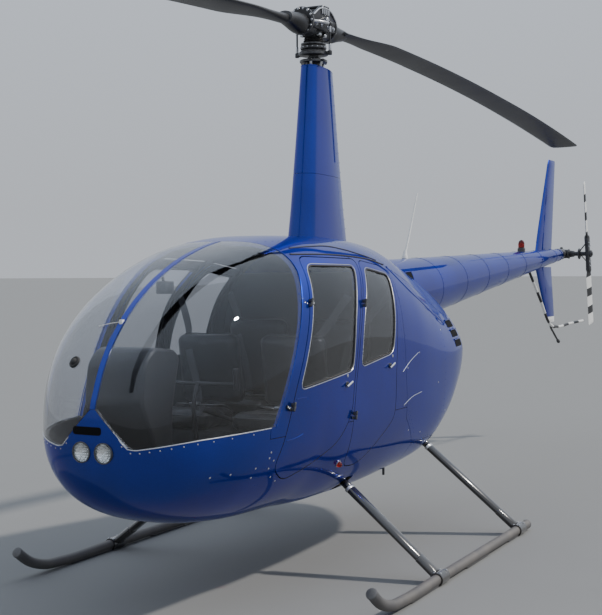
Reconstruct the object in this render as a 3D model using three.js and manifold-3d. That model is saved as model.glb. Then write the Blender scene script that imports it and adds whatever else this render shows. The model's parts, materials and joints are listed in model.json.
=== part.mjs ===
// A four-seat light helicopter on skids, parked with its two-blade rotor fore and aft.
// Millimetres. The datum of every table is the ground under the rotor mast, with +X to
// the nose, +Y to port and +Z up. The finished group is moved so that the origin is on
// the ground at the middle of the whole machine.
import * as THREE from 'three';
import { mergeVertices } from 'three/addons/utils/BufferGeometryUtils.js';
import Module from 'manifold-3d';

const wasm = await Module();
wasm.setup();

// Driving dimensions
const ROTOR_RADIUS = 5030;
const ROTOR_CHORD = 256;
const ROTOR_AZIMUTH = THREE.MathUtils.degToRad(177.7);
const TEETER_Z = 3235;
const HEAD_TOP_Z = 3335;
const BLADE_ROOT_DROP = 20;
const BLADE_TIP_DROOP = 391;
// The parked rotor has tipped a little on its teeter bolt, so the aft blade stands higher
const TEETER_TILT = THREE.MathUtils.degToRad(0.75);
const TAIL_ROTOR = { x: -5884, y: 268, z: 1875, radius: 737, chord: 130 };
const TAIL_ROTOR_LEAN = THREE.MathUtils.degToRad(12.7);
const SKID_Y = 1061;
const SKID_RADIUS = 29;
const SHOE = 6;
const WALL = 25;
const GLASS = 6;
const GLASS_RECESS = 4;
const GAP = 0.3;
const DOOR_GAP = 6;
const FAIRING_TOP_Z = 2968;
const MAST_TOP_Z = 3028;
const AROUND = 32;
// Past the end of everything, for regions and clipping boxes
const FAR = 8000;

const paint = { color: 0x0b2a86, roughness: 0.28, metalness: 0.6 };
const black = { color: 0x15161a, roughness: 0.45, metalness: 0.2 };
const steel = { color: 0x8b8f94, roughness: 0.4, metalness: 0.9 };
const grey = { color: 0x4a4d52, roughness: 0.7, metalness: 0.1 };
const leather = { color: 0x2b2b2e, roughness: 0.6, metalness: 0 };
const glass = { color: 0x2a3038, roughness: 0.05, metalness: 0, transparent: true, opacity: 0.35 };
const white = { color: 0xe8e8e6, roughness: 0.4, metalness: 0 };
const red = { color: 0xb01818, roughness: 0.2, metalness: 0 };
const green = { color: 0x158a3c, roughness: 0.2, metalness: 0 };

const machine = new THREE.Group();

function toSolid(geometry) {
  const bare = geometry.clone();
  bare.deleteAttribute('normal');
  bare.deleteAttribute('uv');
  const merged = mergeVertices(bare, 1e-3);
  const mesh = new wasm.Mesh({
    numProp: 3,
    vertProperties: new Float32Array(merged.attributes.position.array),
    triVerts: new Uint32Array(merged.index.array),
  });
  return new wasm.Manifold(mesh);
}

function toGeometry(solid) {
  const mesh = solid.getMesh();
  const geometry = new THREE.BufferGeometry();
  geometry.setAttribute('position', new THREE.BufferAttribute(mesh.vertProperties, 3));
  geometry.setIndex(new THREE.BufferAttribute(mesh.triVerts, 1));
  geometry.computeVertexNormals();
  return geometry;
}

function add(name, shape, look, parent = machine) {
  const geometry = shape.isBufferGeometry ? shape : toGeometry(shape);
  const mesh = new THREE.Mesh(geometry, new THREE.MeshStandardMaterial(look));
  mesh.name = name;
  parent.add(mesh);
  return mesh;
}

function join(solids) {
  return solids.reduce((whole, next) => whole.add(next));
}

// A closed skin over loops of equal length, with a fan over each end.
function loft(loops) {
  const count = loops[0].length;
  const points = loops.flat();
  const ends = [loops[0], loops[loops.length - 1]];
  for (const end of ends) {
    const middle = new THREE.Vector3();
    end.forEach((point) => middle.addScaledVector(point, 1 / count));
    points.push(middle);
  }
  const index = [];
  for (let row = 0; row < loops.length - 1; row += 1) {
    for (let i = 0; i < count; i += 1) {
      const a = row * count + i;
      const b = row * count + ((i + 1) % count);
      index.push(a, b, a + count, b, b + count, a + count);
    }
  }
  const last = (loops.length - 1) * count;
  const foot = points.length - 2;
  for (let i = 0; i < count; i += 1) {
    const next = (i + 1) % count;
    index.push(foot, next, i);
    index.push(foot + 1, last + i, last + next);
  }
  const geometry = new THREE.BufferGeometry();
  const flat = points.flatMap((p) => [p.x, p.y, p.z]);
  geometry.setAttribute('position', new THREE.Float32BufferAttribute(flat, 3));
  geometry.setIndex(index);
  return turnOutwards(geometry);
}

function signedVolume(geometry) {
  const p = geometry.attributes.position;
  const index = geometry.index.array;
  const [a, b, c] = [new THREE.Vector3(), new THREE.Vector3(), new THREE.Vector3()];
  let total = 0;
  for (let i = 0; i < index.length; i += 3) {
    a.fromBufferAttribute(p, index[i]);
    b.fromBufferAttribute(p, index[i + 1]);
    c.fromBufferAttribute(p, index[i + 2]);
    total += a.dot(b.cross(c)) / 6;
  }
  return total;
}

function turnOutwards(geometry) {
  if (signedVolume(geometry) < 0) {
    const index = geometry.index.array;
    for (let i = 0; i < index.length; i += 3) {
      [index[i], index[i + 1]] = [index[i + 1], index[i]];
    }
  }
  return geometry;
}

function mirrored(solid) {
  const geometry = toGeometry(solid);
  geometry.scale(1, -1, 1);
  return toSolid(turnOutwards(geometry));
}

// A cylinder or cone between two points.
function rod(from, to, radius, sides = 12, endRadius = radius) {
  const a = new THREE.Vector3(...from);
  const b = new THREE.Vector3(...to);
  const length = a.distanceTo(b);
  const geometry = new THREE.CylinderGeometry(endRadius, radius, length, sides);
  const turn = new THREE.Quaternion();
  turn.setFromUnitVectors(new THREE.Vector3(0, 1, 0), b.clone().sub(a).normalize());
  geometry.applyQuaternion(turn);
  geometry.translate(...a.add(b).multiplyScalar(0.5).toArray());
  return toSolid(geometry);
}

function box(low, high) {
  const size = high.map((v, i) => v - low[i]);
  const geometry = new THREE.BoxGeometry(...size);
  geometry.translate(...low.map((v, i) => v + size[i] / 2));
  return toSolid(geometry);
}

// Corners are rows of [first coordinate, second coordinate, corner radius].
function outline(corners) {
  const shape = new THREE.Shape();
  corners.forEach(([u, v, radius], i) => {
    const here = new THREE.Vector2(u, v);
    const before = corners[(i + corners.length - 1) % corners.length];
    const after = corners[(i + 1) % corners.length];
    const back = new THREE.Vector2(before[0], before[1]).sub(here);
    const ahead = new THREE.Vector2(after[0], after[1]).sub(here);
    const reach = Math.min(radius, back.length() * 0.45, ahead.length() * 0.45);
    const start = here.clone().addScaledVector(back.normalize(), reach);
    const end = here.clone().addScaledVector(ahead.normalize(), reach);
    if (i === 0) shape.moveTo(start.x, start.y);
    else shape.lineTo(start.x, start.y);
    if (reach > 0) shape.quadraticCurveTo(u, v, end.x, end.y);
  });
  shape.closePath();
  return shape;
}

// Moves each edge of an outline outwards by a distance. Corners run anticlockwise.
function grown(corners, distance) {
  return corners.map(([u, v, radius], i) => {
    const before = corners[(i + corners.length - 1) % corners.length];
    const after = corners[(i + 1) % corners.length];
    const one = new THREE.Vector2(u - before[0], v - before[1]).normalize();
    const two = new THREE.Vector2(after[0] - u, after[1] - v).normalize();
    const normalOne = new THREE.Vector2(one.y, -one.x);
    const normalTwo = new THREE.Vector2(two.y, -two.x);
    const bisector = normalOne.add(normalTwo);
    const scale = (2 * distance) / bisector.lengthSq();
    return [u + bisector.x * scale, v + bisector.y * scale, radius + distance];
  });
}

// An outline in X and Z carried along Y.
function sidePrism(corners, yLow, yHigh) {
  const options = { depth: yHigh - yLow, bevelEnabled: false, curveSegments: 3 };
  const geometry = new THREE.ExtrudeGeometry(outline(corners), options);
  geometry.rotateX(Math.PI / 2);
  geometry.translate(0, yHigh, 0);
  return toSolid(geometry);
}

// An outline in Y and Z carried along X.
function frontPrism(corners, xLow, xHigh) {
  const options = { depth: xHigh - xLow, bevelEnabled: false, curveSegments: 3 };
  const geometry = new THREE.ExtrudeGeometry(outline(corners), options);
  geometry.rotateX(Math.PI / 2);
  geometry.rotateZ(Math.PI / 2);
  geometry.translate(xLow, 0, 0);
  return toSolid(geometry);
}

// A round tube through a list of points.
function tube(points, radius, sides, steps) {
  const path = new THREE.CatmullRomCurve3(points.map((p) => new THREE.Vector3(...p)));
  const section = new THREE.Shape();
  section.absarc(0, 0, radius, 0, Math.PI * 2);
  const options = { steps, extrudePath: path, curveSegments: sides / 2 };
  return toSolid(new THREE.ExtrudeGeometry(section, options));
}

// The body of the machine: x, belly z, roof z, half width, z of the greatest width,
// and how square the section is above and below it (2 is an ellipse).
const BODY = [
  [2350, 800, 1080, 125, 940, 2.2, 2.0],
  [2325, 715, 1150, 228, 940, 2.3, 2.1],
  [2270, 635, 1270, 325, 940, 2.4, 2.1],
  [2160, 560, 1415, 428, 950, 2.6, 2.2],
  [2000, 500, 1555, 507, 980, 2.7, 2.3],
  [1765, 450, 1692, 575, 1020, 2.7, 2.4],
  [1500, 425, 1795, 613, 1060, 2.8, 2.5],
  [1200, 415, 1865, 634, 1080, 3.0, 2.5],
  [800, 415, 1907, 642, 1100, 3.1, 2.5],
  [300, 425, 1913, 642, 1120, 2.9, 2.5],
  [-200, 450, 1900, 637, 1130, 2.3, 2.4],
  [-600, 495, 1860, 617, 1140, 1.8, 2.3],
  [-950, 555, 1800, 585, 1150, 1.5, 2.2],
  [-1250, 630, 1720, 530, 1160, 1.45, 2.2],
  [-1450, 710, 1620, 462, 1170, 1.5, 2.1],
  [-1600, 820, 1500, 375, 1180, 1.6, 2.0],
  [-1690, 950, 1380, 260, 1180, 1.8, 2.0],
];

function bodyRow(x) {
  const after = Math.max(1, BODY.findIndex((row) => row[0] <= x));
  const [a, b] = [BODY[after - 1], BODY[after]];
  const t = (x - a[0]) / (b[0] - a[0]);
  return a.map((value, i) => value + (b[i] - value) * t);
}

// How far out the skin is at a place seen from the side.
function skinY(x, z, inset = 0) {
  const [, belly, roof, half, middle, above, below] = bodyRow(x);
  const [reach, power] = z > middle ? [roof - middle, above] : [middle - belly, below];
  const share = Math.min(1, Math.abs(z - middle) / (reach - inset));
  return (half - inset) * (1 - share ** power) ** (1 / power);
}

function bodyLoop(row, inset) {
  const [x, belly, roof, half, middle, above, below] = row;
  const centre = (BODY[0][0] + BODY[BODY.length - 1][0]) / 2;
  const reach = (BODY[0][0] - BODY[BODY.length - 1][0]) / 2;
  const place = centre + (x - centre) * (1 - inset / reach);
  const points = [];
  for (let i = 0; i < AROUND; i += 1) {
    const angle = (i / AROUND) * Math.PI * 2;
    const [c, s] = [Math.cos(angle), Math.sin(angle)];
    const power = 2 / (s >= 0 ? above : below);
    const rise = s >= 0 ? roof - middle - inset : middle - belly - inset;
    points.push(new THREE.Vector3(
      place,
      (half - inset) * Math.sign(c) * Math.abs(c) ** power,
      middle + rise * Math.sign(s) * Math.abs(s) ** power,
    ));
  }
  return points;
}

function body(inset) {
  return toSolid(loft(BODY.map((row) => bodyLoop(row, inset))));
}

const outer = body(0);
const inner = body(WALL);
const insideWall = body(WALL + GAP);
const outsideSkin = body(-GAP);
const skin = outer.subtract(inner);
const glazing = outer.subtract(body(GLASS));
const pane = body(GLASS_RECESS).subtract(body(GLASS_RECESS + GLASS));

// Doors and windows seen from the side: x, z, corner radius, anticlockwise from above.
const HINGE_OUT = 20;
const KNUCKLE = 6;
const FRONT_HINGES = [[1262, 1556], [1530, 1045]];
const REAR_HINGES = [[645, 1540], [841, 935]];
// How far each hinge's fixed leaf runs forward over the post that carries it
const POST_LEAF = { front: 40, rear: 8 };
const FRONT_DOOR = [
  [1128, 1782, 70], [490, 1772, 60], [672, 1545, 300], [760, 1370, 300], [840, 1077, 300],
  [858, 940, 90], [985, 795, 90], [1240, 705, 200], [1478, 652, 90], [1618, 735, 60],
  [1518, 1045, 300], [1250, 1556, 400],
];
const FRONT_WINDOW = [
  [1120, 1738, 70], [585, 1732, 50], [705, 1590, 200], [790, 1427, 200], [852, 1172, 50],
  [1436, 1115, 50],
];
const REAR_DOOR = [
  [455, 1768, 60], [60, 1722, 70], [196, 1376, 500], [232, 1100, 300], [232, 850, 60],
  [625, 622, 90], [826, 640, 60], [826, 940, 200], [808, 1077, 300], [728, 1370, 300],
  [640, 1545, 300],
];
const REAR_WINDOW = [
  [430, 1722, 50], [105, 1682, 50], [170, 1554, 200], [278, 1234, 60], [728, 1184, 50],
  [665, 1430, 200], [505, 1645, 200],
];
const DOOR_REACH = [200, 900];
const FLANGE = 8;
const PAN_STEP = 8;

// The windshield's edges: below, seen from ahead, and behind, seen from the side.
const STRIP_HALF = 13;
const WINDSHIELD_BELOW = [
  [STRIP_HALF + GAP, 1072, 0], [190, 893, 30], [300, 908, 0], [447, 933, 0],
  [591, 949, 0], [800, 955, 0], [800, 2100, 0], [STRIP_HALF + GAP, 2100, 0],
];
const WINDSHIELD_BEHIND = [
  [1660, 930, 0], [2500, 850, 0], [2500, 2100, 0], [1190, 2100, 0], [1190, 1830, 60],
  [1215, 1740, 60], [1300, 1600, 60],
];

const SIDES = { left: 1, right: -1 };
const onSide = (solid, side) => (side > 0 ? solid : mirrored(solid));

// Undercarriage: x of the foot on the skid, x of the top, z of the cross tube.
const BOWS = {
  front: { footX: 637, topX: 574, topZ: 512 },
  rear: { footX: -826, topX: -670, topZ: 600 },
};
const LEG_TOP_Y = 455;
const LEG_CHORD = 88;
const LEG_THICK = 44;
const LEG_FLOOR = 14;
const skidZ = SKID_RADIUS + SHOE;

function legLoop(centre, chord, thick) {
  const points = [];
  for (let i = 0; i < 12; i += 1) {
    const angle = (i / 12) * Math.PI * 2;
    const along = Math.cos(angle);
    const taper = 1 - 0.45 * (0.5 - along / 2) ** 2;
    points.push(new THREE.Vector3(
      centre[0] + (along * chord) / 2,
      centre[1] + Math.sin(angle) * taper * thick * 0.4,
      centre[2] + Math.sin(angle) * taper * thick * 0.5,
    ));
  }
  return points;
}

function bow({ footX, topX, topZ }, extra = 0) {
  const foot = [footX, SKID_Y, skidZ];
  const top = [topX, LEG_TOP_Y, topZ];
  const chord = LEG_CHORD + extra * 2;
  const thick = LEG_THICK + extra * 2;
  const leg = toSolid(loft([legLoop(foot, chord, thick), legLoop(top, chord, thick)]));
  const saddle = rod([footX - 60, SKID_Y, skidZ], [footX + 60, SKID_Y, skidZ], SKID_RADIUS + 9);
  const across = rod([topX, -LEG_TOP_Y, topZ], [topX, LEG_TOP_Y, topZ], 24 + extra);
  const aboveGround = box([-FAR, -FAR, LEG_FLOOR], [FAR, FAR, FAR]);
  return join([leg, mirrored(leg), across, saddle, mirrored(saddle)]).intersect(aboveGround);
}

const SKID_PATH = [
  [-1010, 0], [-600, 0], [0, 0], [700, 0], [1180, 0], [1340, 12], [1480, 58], [1585, 128],
];

const SHOES = [[-960, -560], [-160, 240], [620, 1100]];

function skid(side, extra) {
  const points = SKID_PATH.map(([x, rise]) => [x, side * SKID_Y, skidZ + rise]);
  const shoes = SHOES.map(([back, front]) => box(
    [back - extra, side * SKID_Y - 18 - extra, 0],
    [front + extra, side * SKID_Y + 18 + extra, 16 + extra],
  ));
  return join([tube(points, SKID_RADIUS + extra, 12, 16), ...shoes]);
}

const skidClear = skid(1, GAP).add(skid(-1, GAP));
const bows = Object.fromEntries(
  Object.entries(BOWS).map(([name, sizes]) => [name, bow(sizes).subtract(skidClear)]),
);
const legHoles = join(Object.values(BOWS).map((sizes) => bow(sizes, GAP * 1.5)));

// Tail cone: x of the ends, with the axis height and radius along it.
const CONE = { front: -1100, back: -5715, zAt: -2300, z: 1620, r: 199, rise: 0.0713, taper: 0.041 };
const CONE_WALL = 8;
const coneZ = (x) => CONE.z + (CONE.zAt - x) * CONE.rise;
const coneR = (x) => CONE.r - (CONE.zAt - x) * CONE.taper;

function cone(extra) {
  const from = [CONE.front + extra, 0, coneZ(CONE.front + extra)];
  const to = [CONE.back - extra, 0, coneZ(CONE.back - extra)];
  return rod(from, to, coneR(CONE.front) + extra, 24, coneR(CONE.back) + extra);
}

const FAN = { x: -1640, z: 1035, radius: 222 };
const fanHole = rod([FAN.x - 200, 0, FAN.z], [FAN.x + 200, 0, FAN.z], FAN.radius + 12, 24);

// The shell is split where the real panels meet. Each panel is a region seen from the
// side, x and z, and neighbours keep a hairline between them.
const PANEL = { nose: 1700, sill: 890, chine: 640, tail: -1500 };
// The seam behind the cabin, from the chine to the roof
const SILL_SEAM = [39, PANEL.sill];
const COWL_SEAM = [
  [-217, PANEL.chine], [29, 824], SILL_SEAM, [72, 1100], [90, 1372], [72, 1580], [23, 1735],
];
const ABOVE_SEAM = [23, FAR];
const SHOULDER_AFT = [PANEL.tail, 1275];
const aboveSill = COWL_SEAM.filter(([, z]) => z > PANEL.sill);
const belowSill = COWL_SEAM.filter(([, z]) => z < PANEL.sill).reverse();
const PANEL_EDGES = {
  upper_frame: [
    SILL_SEAM, [PANEL.nose, PANEL.sill], [PANEL.nose, FAR], ABOVE_SEAM, ...aboveSill.reverse(),
  ],
  lower_fuselage: [
    SILL_SEAM, ...belowSill, [COWL_SEAM[0][0], -FAR], [FAR, -FAR], [FAR, FAR], [PANEL.nose, FAR],
    [PANEL.nose, PANEL.sill],
  ],
  aft_roof_cowl: [SHOULDER_AFT, COWL_SEAM[COWL_SEAM.length - 1], ABOVE_SEAM, [PANEL.tail, FAR]],
  side_cowl: [[PANEL.tail, PANEL.chine], ...COWL_SEAM, SHOULDER_AFT],
  belly_aft_panel: [
    [PANEL.tail, -FAR], [COWL_SEAM[0][0], -FAR], COWL_SEAM[0], [PANEL.tail, PANEL.chine],
  ],
  tail_end_cowl: [[-FAR, -FAR], [PANEL.tail, -FAR], [PANEL.tail, FAR], [-FAR, FAR]],
};

function region(name, yLow = -FAR, yHigh = FAR) {
  const corners = PANEL_EDGES[name].map(([x, z]) => [x, z, 0]);
  return sidePrism(grown(corners, -GAP / 2), yLow, yHigh);
}

const portDoors = join([
  sidePrism(grown(FRONT_DOOR, DOOR_GAP), ...DOOR_REACH),
  sidePrism(grown(REAR_DOOR, DOOR_GAP), ...DOOR_REACH),
]);
const doorways = portDoors.add(mirrored(portDoors));

function windshieldRegion(extra) {
  const below = frontPrism(grown(WINDSHIELD_BELOW, extra), -FAR, FAR);
  const behind = sidePrism(grown(WINDSHIELD_BEHIND, extra), -FAR, FAR);
  return below.intersect(behind);
}

const portScreen = windshieldRegion(0);
const screenHole = join([
  windshieldRegion(GAP),
  mirrored(windshieldRegion(GAP)),
  box([1190 - GAP, -STRIP_HALF - 2, 1072 - GAP], [2500, STRIP_HALF + 2, 2100]),
]);
const forward = skin.subtract(doorways).subtract(screenHole).subtract(legHoles);
const aft = skin.subtract(cone(GAP)).subtract(legHoles).subtract(fanHole);

// A hinge is a knuckle on the door above one on the post. Over the door gap all of it
// stays outside the skin.
const clearOfSkin = body(-2);
function hingeParts(hinges, postLeaf, leafRegion, side) {
  const [upper, lower] = hinges.map(([x, z]) => [x, skinY(x, z) + HINGE_OUT, z]);
  const a = new THREE.Vector3(...upper);
  const b = new THREE.Vector3(...lower);
  const along = b.clone().sub(a).normalize();
  const at = (point, shift) => point.clone().addScaledVector(along, shift).toArray();
  const door = [];
  const frame = [];
  for (const point of [a, b]) {
    const [x, y, z] = point.toArray();
    const plate = (xLow, xHigh, drop) => sidePrism(
      [[xHigh, z - drop + 8], [xLow, z - drop + 8], [xLow, z - drop - 8], [xHigh, z - drop - 8]]
        .map(([u, v]) => [u - (v - z) * (along.x / -along.z), v, 0]),
      y - HINGE_OUT - 18,
      y + 2,
    );
    door.push(rod(at(point, -12), at(point, 12), KNUCKLE, 8), plate(x - 42, x, 0));
    frame.push(rod(at(point, 12 + GAP), at(point, 36), KNUCKLE, 8), plate(x - KNUCKLE, x + postLeaf, 26));
  }
  const doorPart = join(door);
  const framePart = join(frame);
  return {
    door: onSide(doorPart.subtract(clearOfSkin).add(doorPart.intersect(leafRegion)), side),
    frame: onSide(framePart.subtract(clearOfSkin).add(framePart.subtract(portDoors)), side),
  };
}

const behindFlange = body(FLANGE);
const frameHinges = [];
for (const [word, side] of Object.entries(SIDES)) {
  const doors = {
    front: [FRONT_DOOR, FRONT_WINDOW, FRONT_HINGES],
    rear: [REAR_DOOR, REAR_WINDOW, REAR_HINGES],
  };
  for (const [place, [doorEdge, windowEdge, hinges]] of Object.entries(doors)) {
    const leafRegion = sidePrism(doorEdge, ...DOOR_REACH);
    const { door, frame } = hingeParts(hinges, POST_LEAF[place], leafRegion, side);
    frameHinges.push(frame);
    const leaf = onSide(leafRegion, side);
    const hole = onSide(sidePrism(windowEdge, ...DOOR_REACH), side);
    const lite = onSide(sidePrism(grown(windowEdge, -GAP), ...DOOR_REACH), side);
    // The inner pan of a door is smaller than its skin, so that it swings clear of the frame.
    const pan = onSide(sidePrism(grown(doorEdge, -PAN_STEP), ...DOOR_REACH), side);
    const panel = skin.intersect(leaf).subtract(behindFlange.subtract(pan));
    add(`door_${place}_${word}`, panel.subtract(hole).add(door), paint);
    add(`door_glass_${place}_${word}`, pane.intersect(lite), glass);
  }
  const screen = onSide(portScreen, side);
  add(`windshield_${word}`, glazing.intersect(screen), glass);
}

const hingesOnFrame = join(frameHinges);
add('upper_frame', forward.intersect(region('upper_frame')).add(hingesOnFrame), paint);
add('lower_fuselage', forward.intersect(region('lower_fuselage')), paint);
const stripBox = box([1190, -STRIP_HALF, 1072], [2500, STRIP_HALF, 2100]);
const stripSkin = outer.subtract(body(GLASS * 2));
add('windshield_strip', stripSkin.intersect(stripBox), paint);

for (const name of ['aft_roof_cowl', 'belly_aft_panel', 'tail_end_cowl']) {
  add(name, aft.intersect(region(name)), paint);
}
add('side_cowl_left', aft.intersect(region('side_cowl', GAP, FAR)), paint);
add('side_cowl_right', aft.intersect(region('side_cowl', -FAR, -GAP)), paint);

// Cabin
const FLOOR_Z = [552, 572];
const BULKHEAD_X = [76, 92];
const SEAT_BASE_Z = 840;
const floorPlate = box([BULKHEAD_X[0], -FAR, FLOOR_Z[0]], [2080, FAR, FLOOR_Z[1]]);
const onFloor = [
  box([BULKHEAD_X[0], -FAR, FLOOR_Z[0]], [BULKHEAD_X[1], FAR, 1700]),
  box([740, -FAR, FLOOR_Z[0]], [1190, FAR, SEAT_BASE_Z]),
  box([BULKHEAD_X[0], -FAR, FLOOR_Z[0]], [560, FAR, SEAT_BASE_Z]),
];
// The floor meets the shell. What stands on it stays inside the doors.
const insideDoors = body(WALL + 15);
const cabinFloor = floorPlate.intersect(insideWall).add(join(onFloor).intersect(insideDoors));
add('cabin_floor', cabinFloor, grey);

// Seats: x of the cushion's back and front, z of its top, x and z of the backrest's top
const SEATS = {
  front: { back: 760, front: 1230, seatZ: 940, leanX: 668, topZ: 1400 },
  rear: { back: 150, front: 600, seatZ: 940, leanX: 110, topZ: 1430 },
};
const SEAT_Y = [48, 490];
for (const [place, seat] of Object.entries(SEATS)) {
  for (const [word, side] of Object.entries(SIDES)) {
    const base = SEAT_BASE_Z + GAP;
    const corners = [
      [seat.front, base, 30], [seat.front, seat.seatZ, 40], [seat.back + 90, seat.seatZ, 30],
      [seat.leanX + 100, seat.topZ, 40], [seat.leanX, seat.topZ, 30], [seat.back - 10, base, 10],
    ];
    add(`seat_${place}_${word}`, onSide(sidePrism(corners, ...SEAT_Y), side), leather);
  }
}

const CONSOLE_HALF = 165;
const consoleShape = [
  [2190, 1090, 30], [2165, 1275, 50], [2075, 1345, 60], [1900, 1330, 50], [1850, 1290, 30],
  [1880, 1180, 20], [1915, 1050, 60], [1915, FLOOR_Z[1] + GAP, 0], [2015, FLOOR_Z[1] + GAP, 0],
  [2090, 900, 60],
].reverse();
add('instrument_console', sidePrism(consoleShape, -CONSOLE_HALF, CONSOLE_HALF), black);
const aboveFloor = box([-FAR, -FAR, FLOOR_Z[1] + GAP], [FAR, FAR, FAR]);
add('cyclic_stick', join([
  tube([[1340, 0, FLOOR_Z[0]], [1420, 0, 800], [1440, 0, 1060], [1405, 0, 1130]], 12, 6, 8),
  rod([1405, -230, 1118], [1405, 230, 1118], 11, 8),
  rod([1405, 225, 1090], [1405, 225, 1200], 15, 8),
  rod([1405, -225, 1090], [1405, -225, 1200], 15, 8),
]).intersect(aboveFloor), black);
const COLLECTIVE_Y = { left: 515, right: 20 };
for (const [word, y] of Object.entries(COLLECTIVE_Y)) {
  add(`collective_${word}`, join([
    rod([1000, y, SEAT_BASE_Z + GAP], [1000, y, SEAT_BASE_Z + 34], 14, 8),
    rod([990, y, SEAT_BASE_Z + 26], [1400, y, 985], 11, 8),
    rod([1290, y, 946], [1405, y, 987], 16, 8),
  ]), black);
}

// Engine bay
add('engine_block', box([-1000, -330, 690], [-220, 330, 1060]), steel);
add('cooling_fan', join([
  rod([FAN.x + 30, 0, FAN.z], [-1250, 0, FAN.z], FAN.radius, 24),
  rod([-1250, 0, FAN.z - 200], [-1000 - GAP, 0, FAN.z - 200], 60, 12),
]), grey);

// Mast fairing: z, x of the round nose's centre, its radius, x of the trailing edge
const FAIRING = [
  [1840, 172, 92, -490],
  [2080, 142, 82, -432],
  [2500, 100, 68, -352],
  [FAIRING_TOP_Z, 54, 54, -272],
];
function fairingLoop([z, noseX, radius, tailX]) {
  const points = [];
  for (let i = 0; i <= 8; i += 1) {
    const angle = -Math.PI / 2 + (i / 8) * Math.PI;
    const x = noseX + Math.cos(angle) * radius;
    points.push(new THREE.Vector3(x, Math.sin(angle) * radius, z));
  }
  const flank = [[0.35, 0.93], [0.7, 0.55], [1, 0.05]];
  for (const [share, width] of flank) {
    points.push(new THREE.Vector3(noseX + (tailX - noseX) * share, radius * width, z));
  }
  for (const [share, width] of flank.slice().reverse()) {
    points.push(new THREE.Vector3(noseX + (tailX - noseX) * share, -radius * width, z));
  }
  return points;
}
const fairing = toSolid(loft(FAIRING.map(fairingLoop)));
add('mast_fairing', fairing.subtract(outsideSkin), paint);
add('mast_tube', join([
  rod([0, 0, FAIRING_TOP_Z + GAP], [0, 0, MAST_TOP_Z], 40, 16),
  rod([0, 0, FAIRING_TOP_Z + 22], [0, 0, FAIRING_TOP_Z + 42], 86, 20),
  rod([-60, -60, FAIRING_TOP_Z + 32], [-60, -60, FAIRING_TOP_Z + GAP], 8, 8),
]), black);

// Main rotor
const rotor = new THREE.Group();
rotor.rotation.z = ROTOR_AZIMUTH;
machine.add(rotor);

// Half an airfoil each way round: share of the chord from the leading edge, share of
// the full thickness.
const FOIL = [[0, 0], [0.05, 0.62], [0.18, 0.96], [0.35, 1], [0.65, 0.62], [1, 0.06]];
function foilLoop(chord, thick, lead) {
  const upper = FOIL.map(([c, t]) => [lead - c * chord, (t * thick) / 2]);
  const lower = FOIL.slice(1).reverse().map(([c, t]) => [lead - c * chord, (-t * thick) / 2]);
  return [...upper, ...lower];
}

// Main blade: share of the radius, chord, thickness, pitch in degrees
const BLADE = [
  [0.062, 120, 62, 2],
  [0.1, 150, 44, 2],
  [0.17, ROTOR_CHORD, 33, 2],
  [0.35, ROTOR_CHORD, 31, 1.5],
  [0.55, ROTOR_CHORD, 31, 1],
  [0.75, ROTOR_CHORD + 12, 30, 0.5],
  [0.9, ROTOR_CHORD + 12, 30, 0],
  [0.992, ROTOR_CHORD + 12, 26, 0],
  [1, ROTOR_CHORD - 20, 12, 0],
];
const bladeZ = (share, end) => TEETER_Z - BLADE_ROOT_DROP - BLADE_TIP_DROOP * share ** 1.8
  + end * share * ROTOR_RADIUS * Math.tan(TEETER_TILT);
// End is 1 for the blade that lies aft and -1 for the one that lies ahead
function mainBlade(end, extra = 0) {
  const loops = BLADE.map(([share, chord, thick, pitch], i) => {
    const turn = THREE.MathUtils.degToRad(pitch);
    const foil = foilLoop(chord + extra * 4, thick + extra * 4, chord * 0.3 + extra * 2);
    return foil.map(([y, z]) => new THREE.Vector3(
      share * ROTOR_RADIUS - (i === 0 ? extra : 0),
      y * Math.cos(turn) - z * Math.sin(turn),
      bladeZ(share, end) + y * Math.sin(turn) + z * Math.cos(turn),
    ));
  });
  return toSolid(loft(loops));
}
add('main_blade_aft', mainBlade(1), black, rotor);
add('main_blade_fore', mainBlade(-1), black, rotor).rotation.z = Math.PI;
// The head: shaft, turning ring and drum, boot, hub block, and a flange and a grip for each blade
const RING_Z = MAST_TOP_Z + 19;
const DRUM_TOP_Z = RING_Z + 70;
const HUB_BOTTOM_Z = TEETER_Z - 50;
const LINK_Y = 115;
const GRIP = { radius: 66, z: TEETER_Z - 30, start: 60, full: 215, end: 370, endRadius: 42 };
const HEAD_FLANGE = { from: 143, to: 163, radius: 86, z: TEETER_Z - 8 };
const headParts = [
  rod([0, 0, MAST_TOP_Z + GAP], [0, 0, TEETER_Z], 30, 16),
  rod([0, 0, RING_Z - 11], [0, 0, RING_Z + 11], 92, 20),
  rod([0, 0, RING_Z], [0, 0, DRUM_TOP_Z], 80, 20),
  rod([0, 0, DRUM_TOP_Z - 2], [0, 0, HUB_BOTTOM_Z + 2], 58, 16, 46),
  box([-70, -90, HUB_BOTTOM_Z], [70, 90, HEAD_TOP_Z]),
  box([-150, -60, HUB_BOTTOM_Z], [150, 60, TEETER_Z + 35]),
];
for (const end of [1, -1]) {
  headParts.push(rod([end * HEAD_FLANGE.from, 0, HEAD_FLANGE.z], [end * HEAD_FLANGE.to, 0, HEAD_FLANGE.z],
    HEAD_FLANGE.radius, 20));
  headParts.push(rod([end * GRIP.start, 0, GRIP.z], [end * GRIP.full, 0, GRIP.z], GRIP.radius, 16));
  headParts.push(rod([end * GRIP.full, 0, GRIP.z], [end * GRIP.end, 0, GRIP.z + 8], GRIP.radius, 16,
    GRIP.endRadius));
  // A pitch link between an arm on the turning ring and the blade grip's horn
  const link = [0, end * LINK_Y];
  headParts.push(rod([0, 0, RING_Z], [...link, RING_Z], 10, 8));
  headParts.push(rod([...link, RING_Z], [...link, TEETER_Z - 8], 8, 8));
  headParts.push(rod([end * 150, end * 50, TEETER_Z - 12], [...link, TEETER_Z - 12], 11, 8));
}
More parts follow.
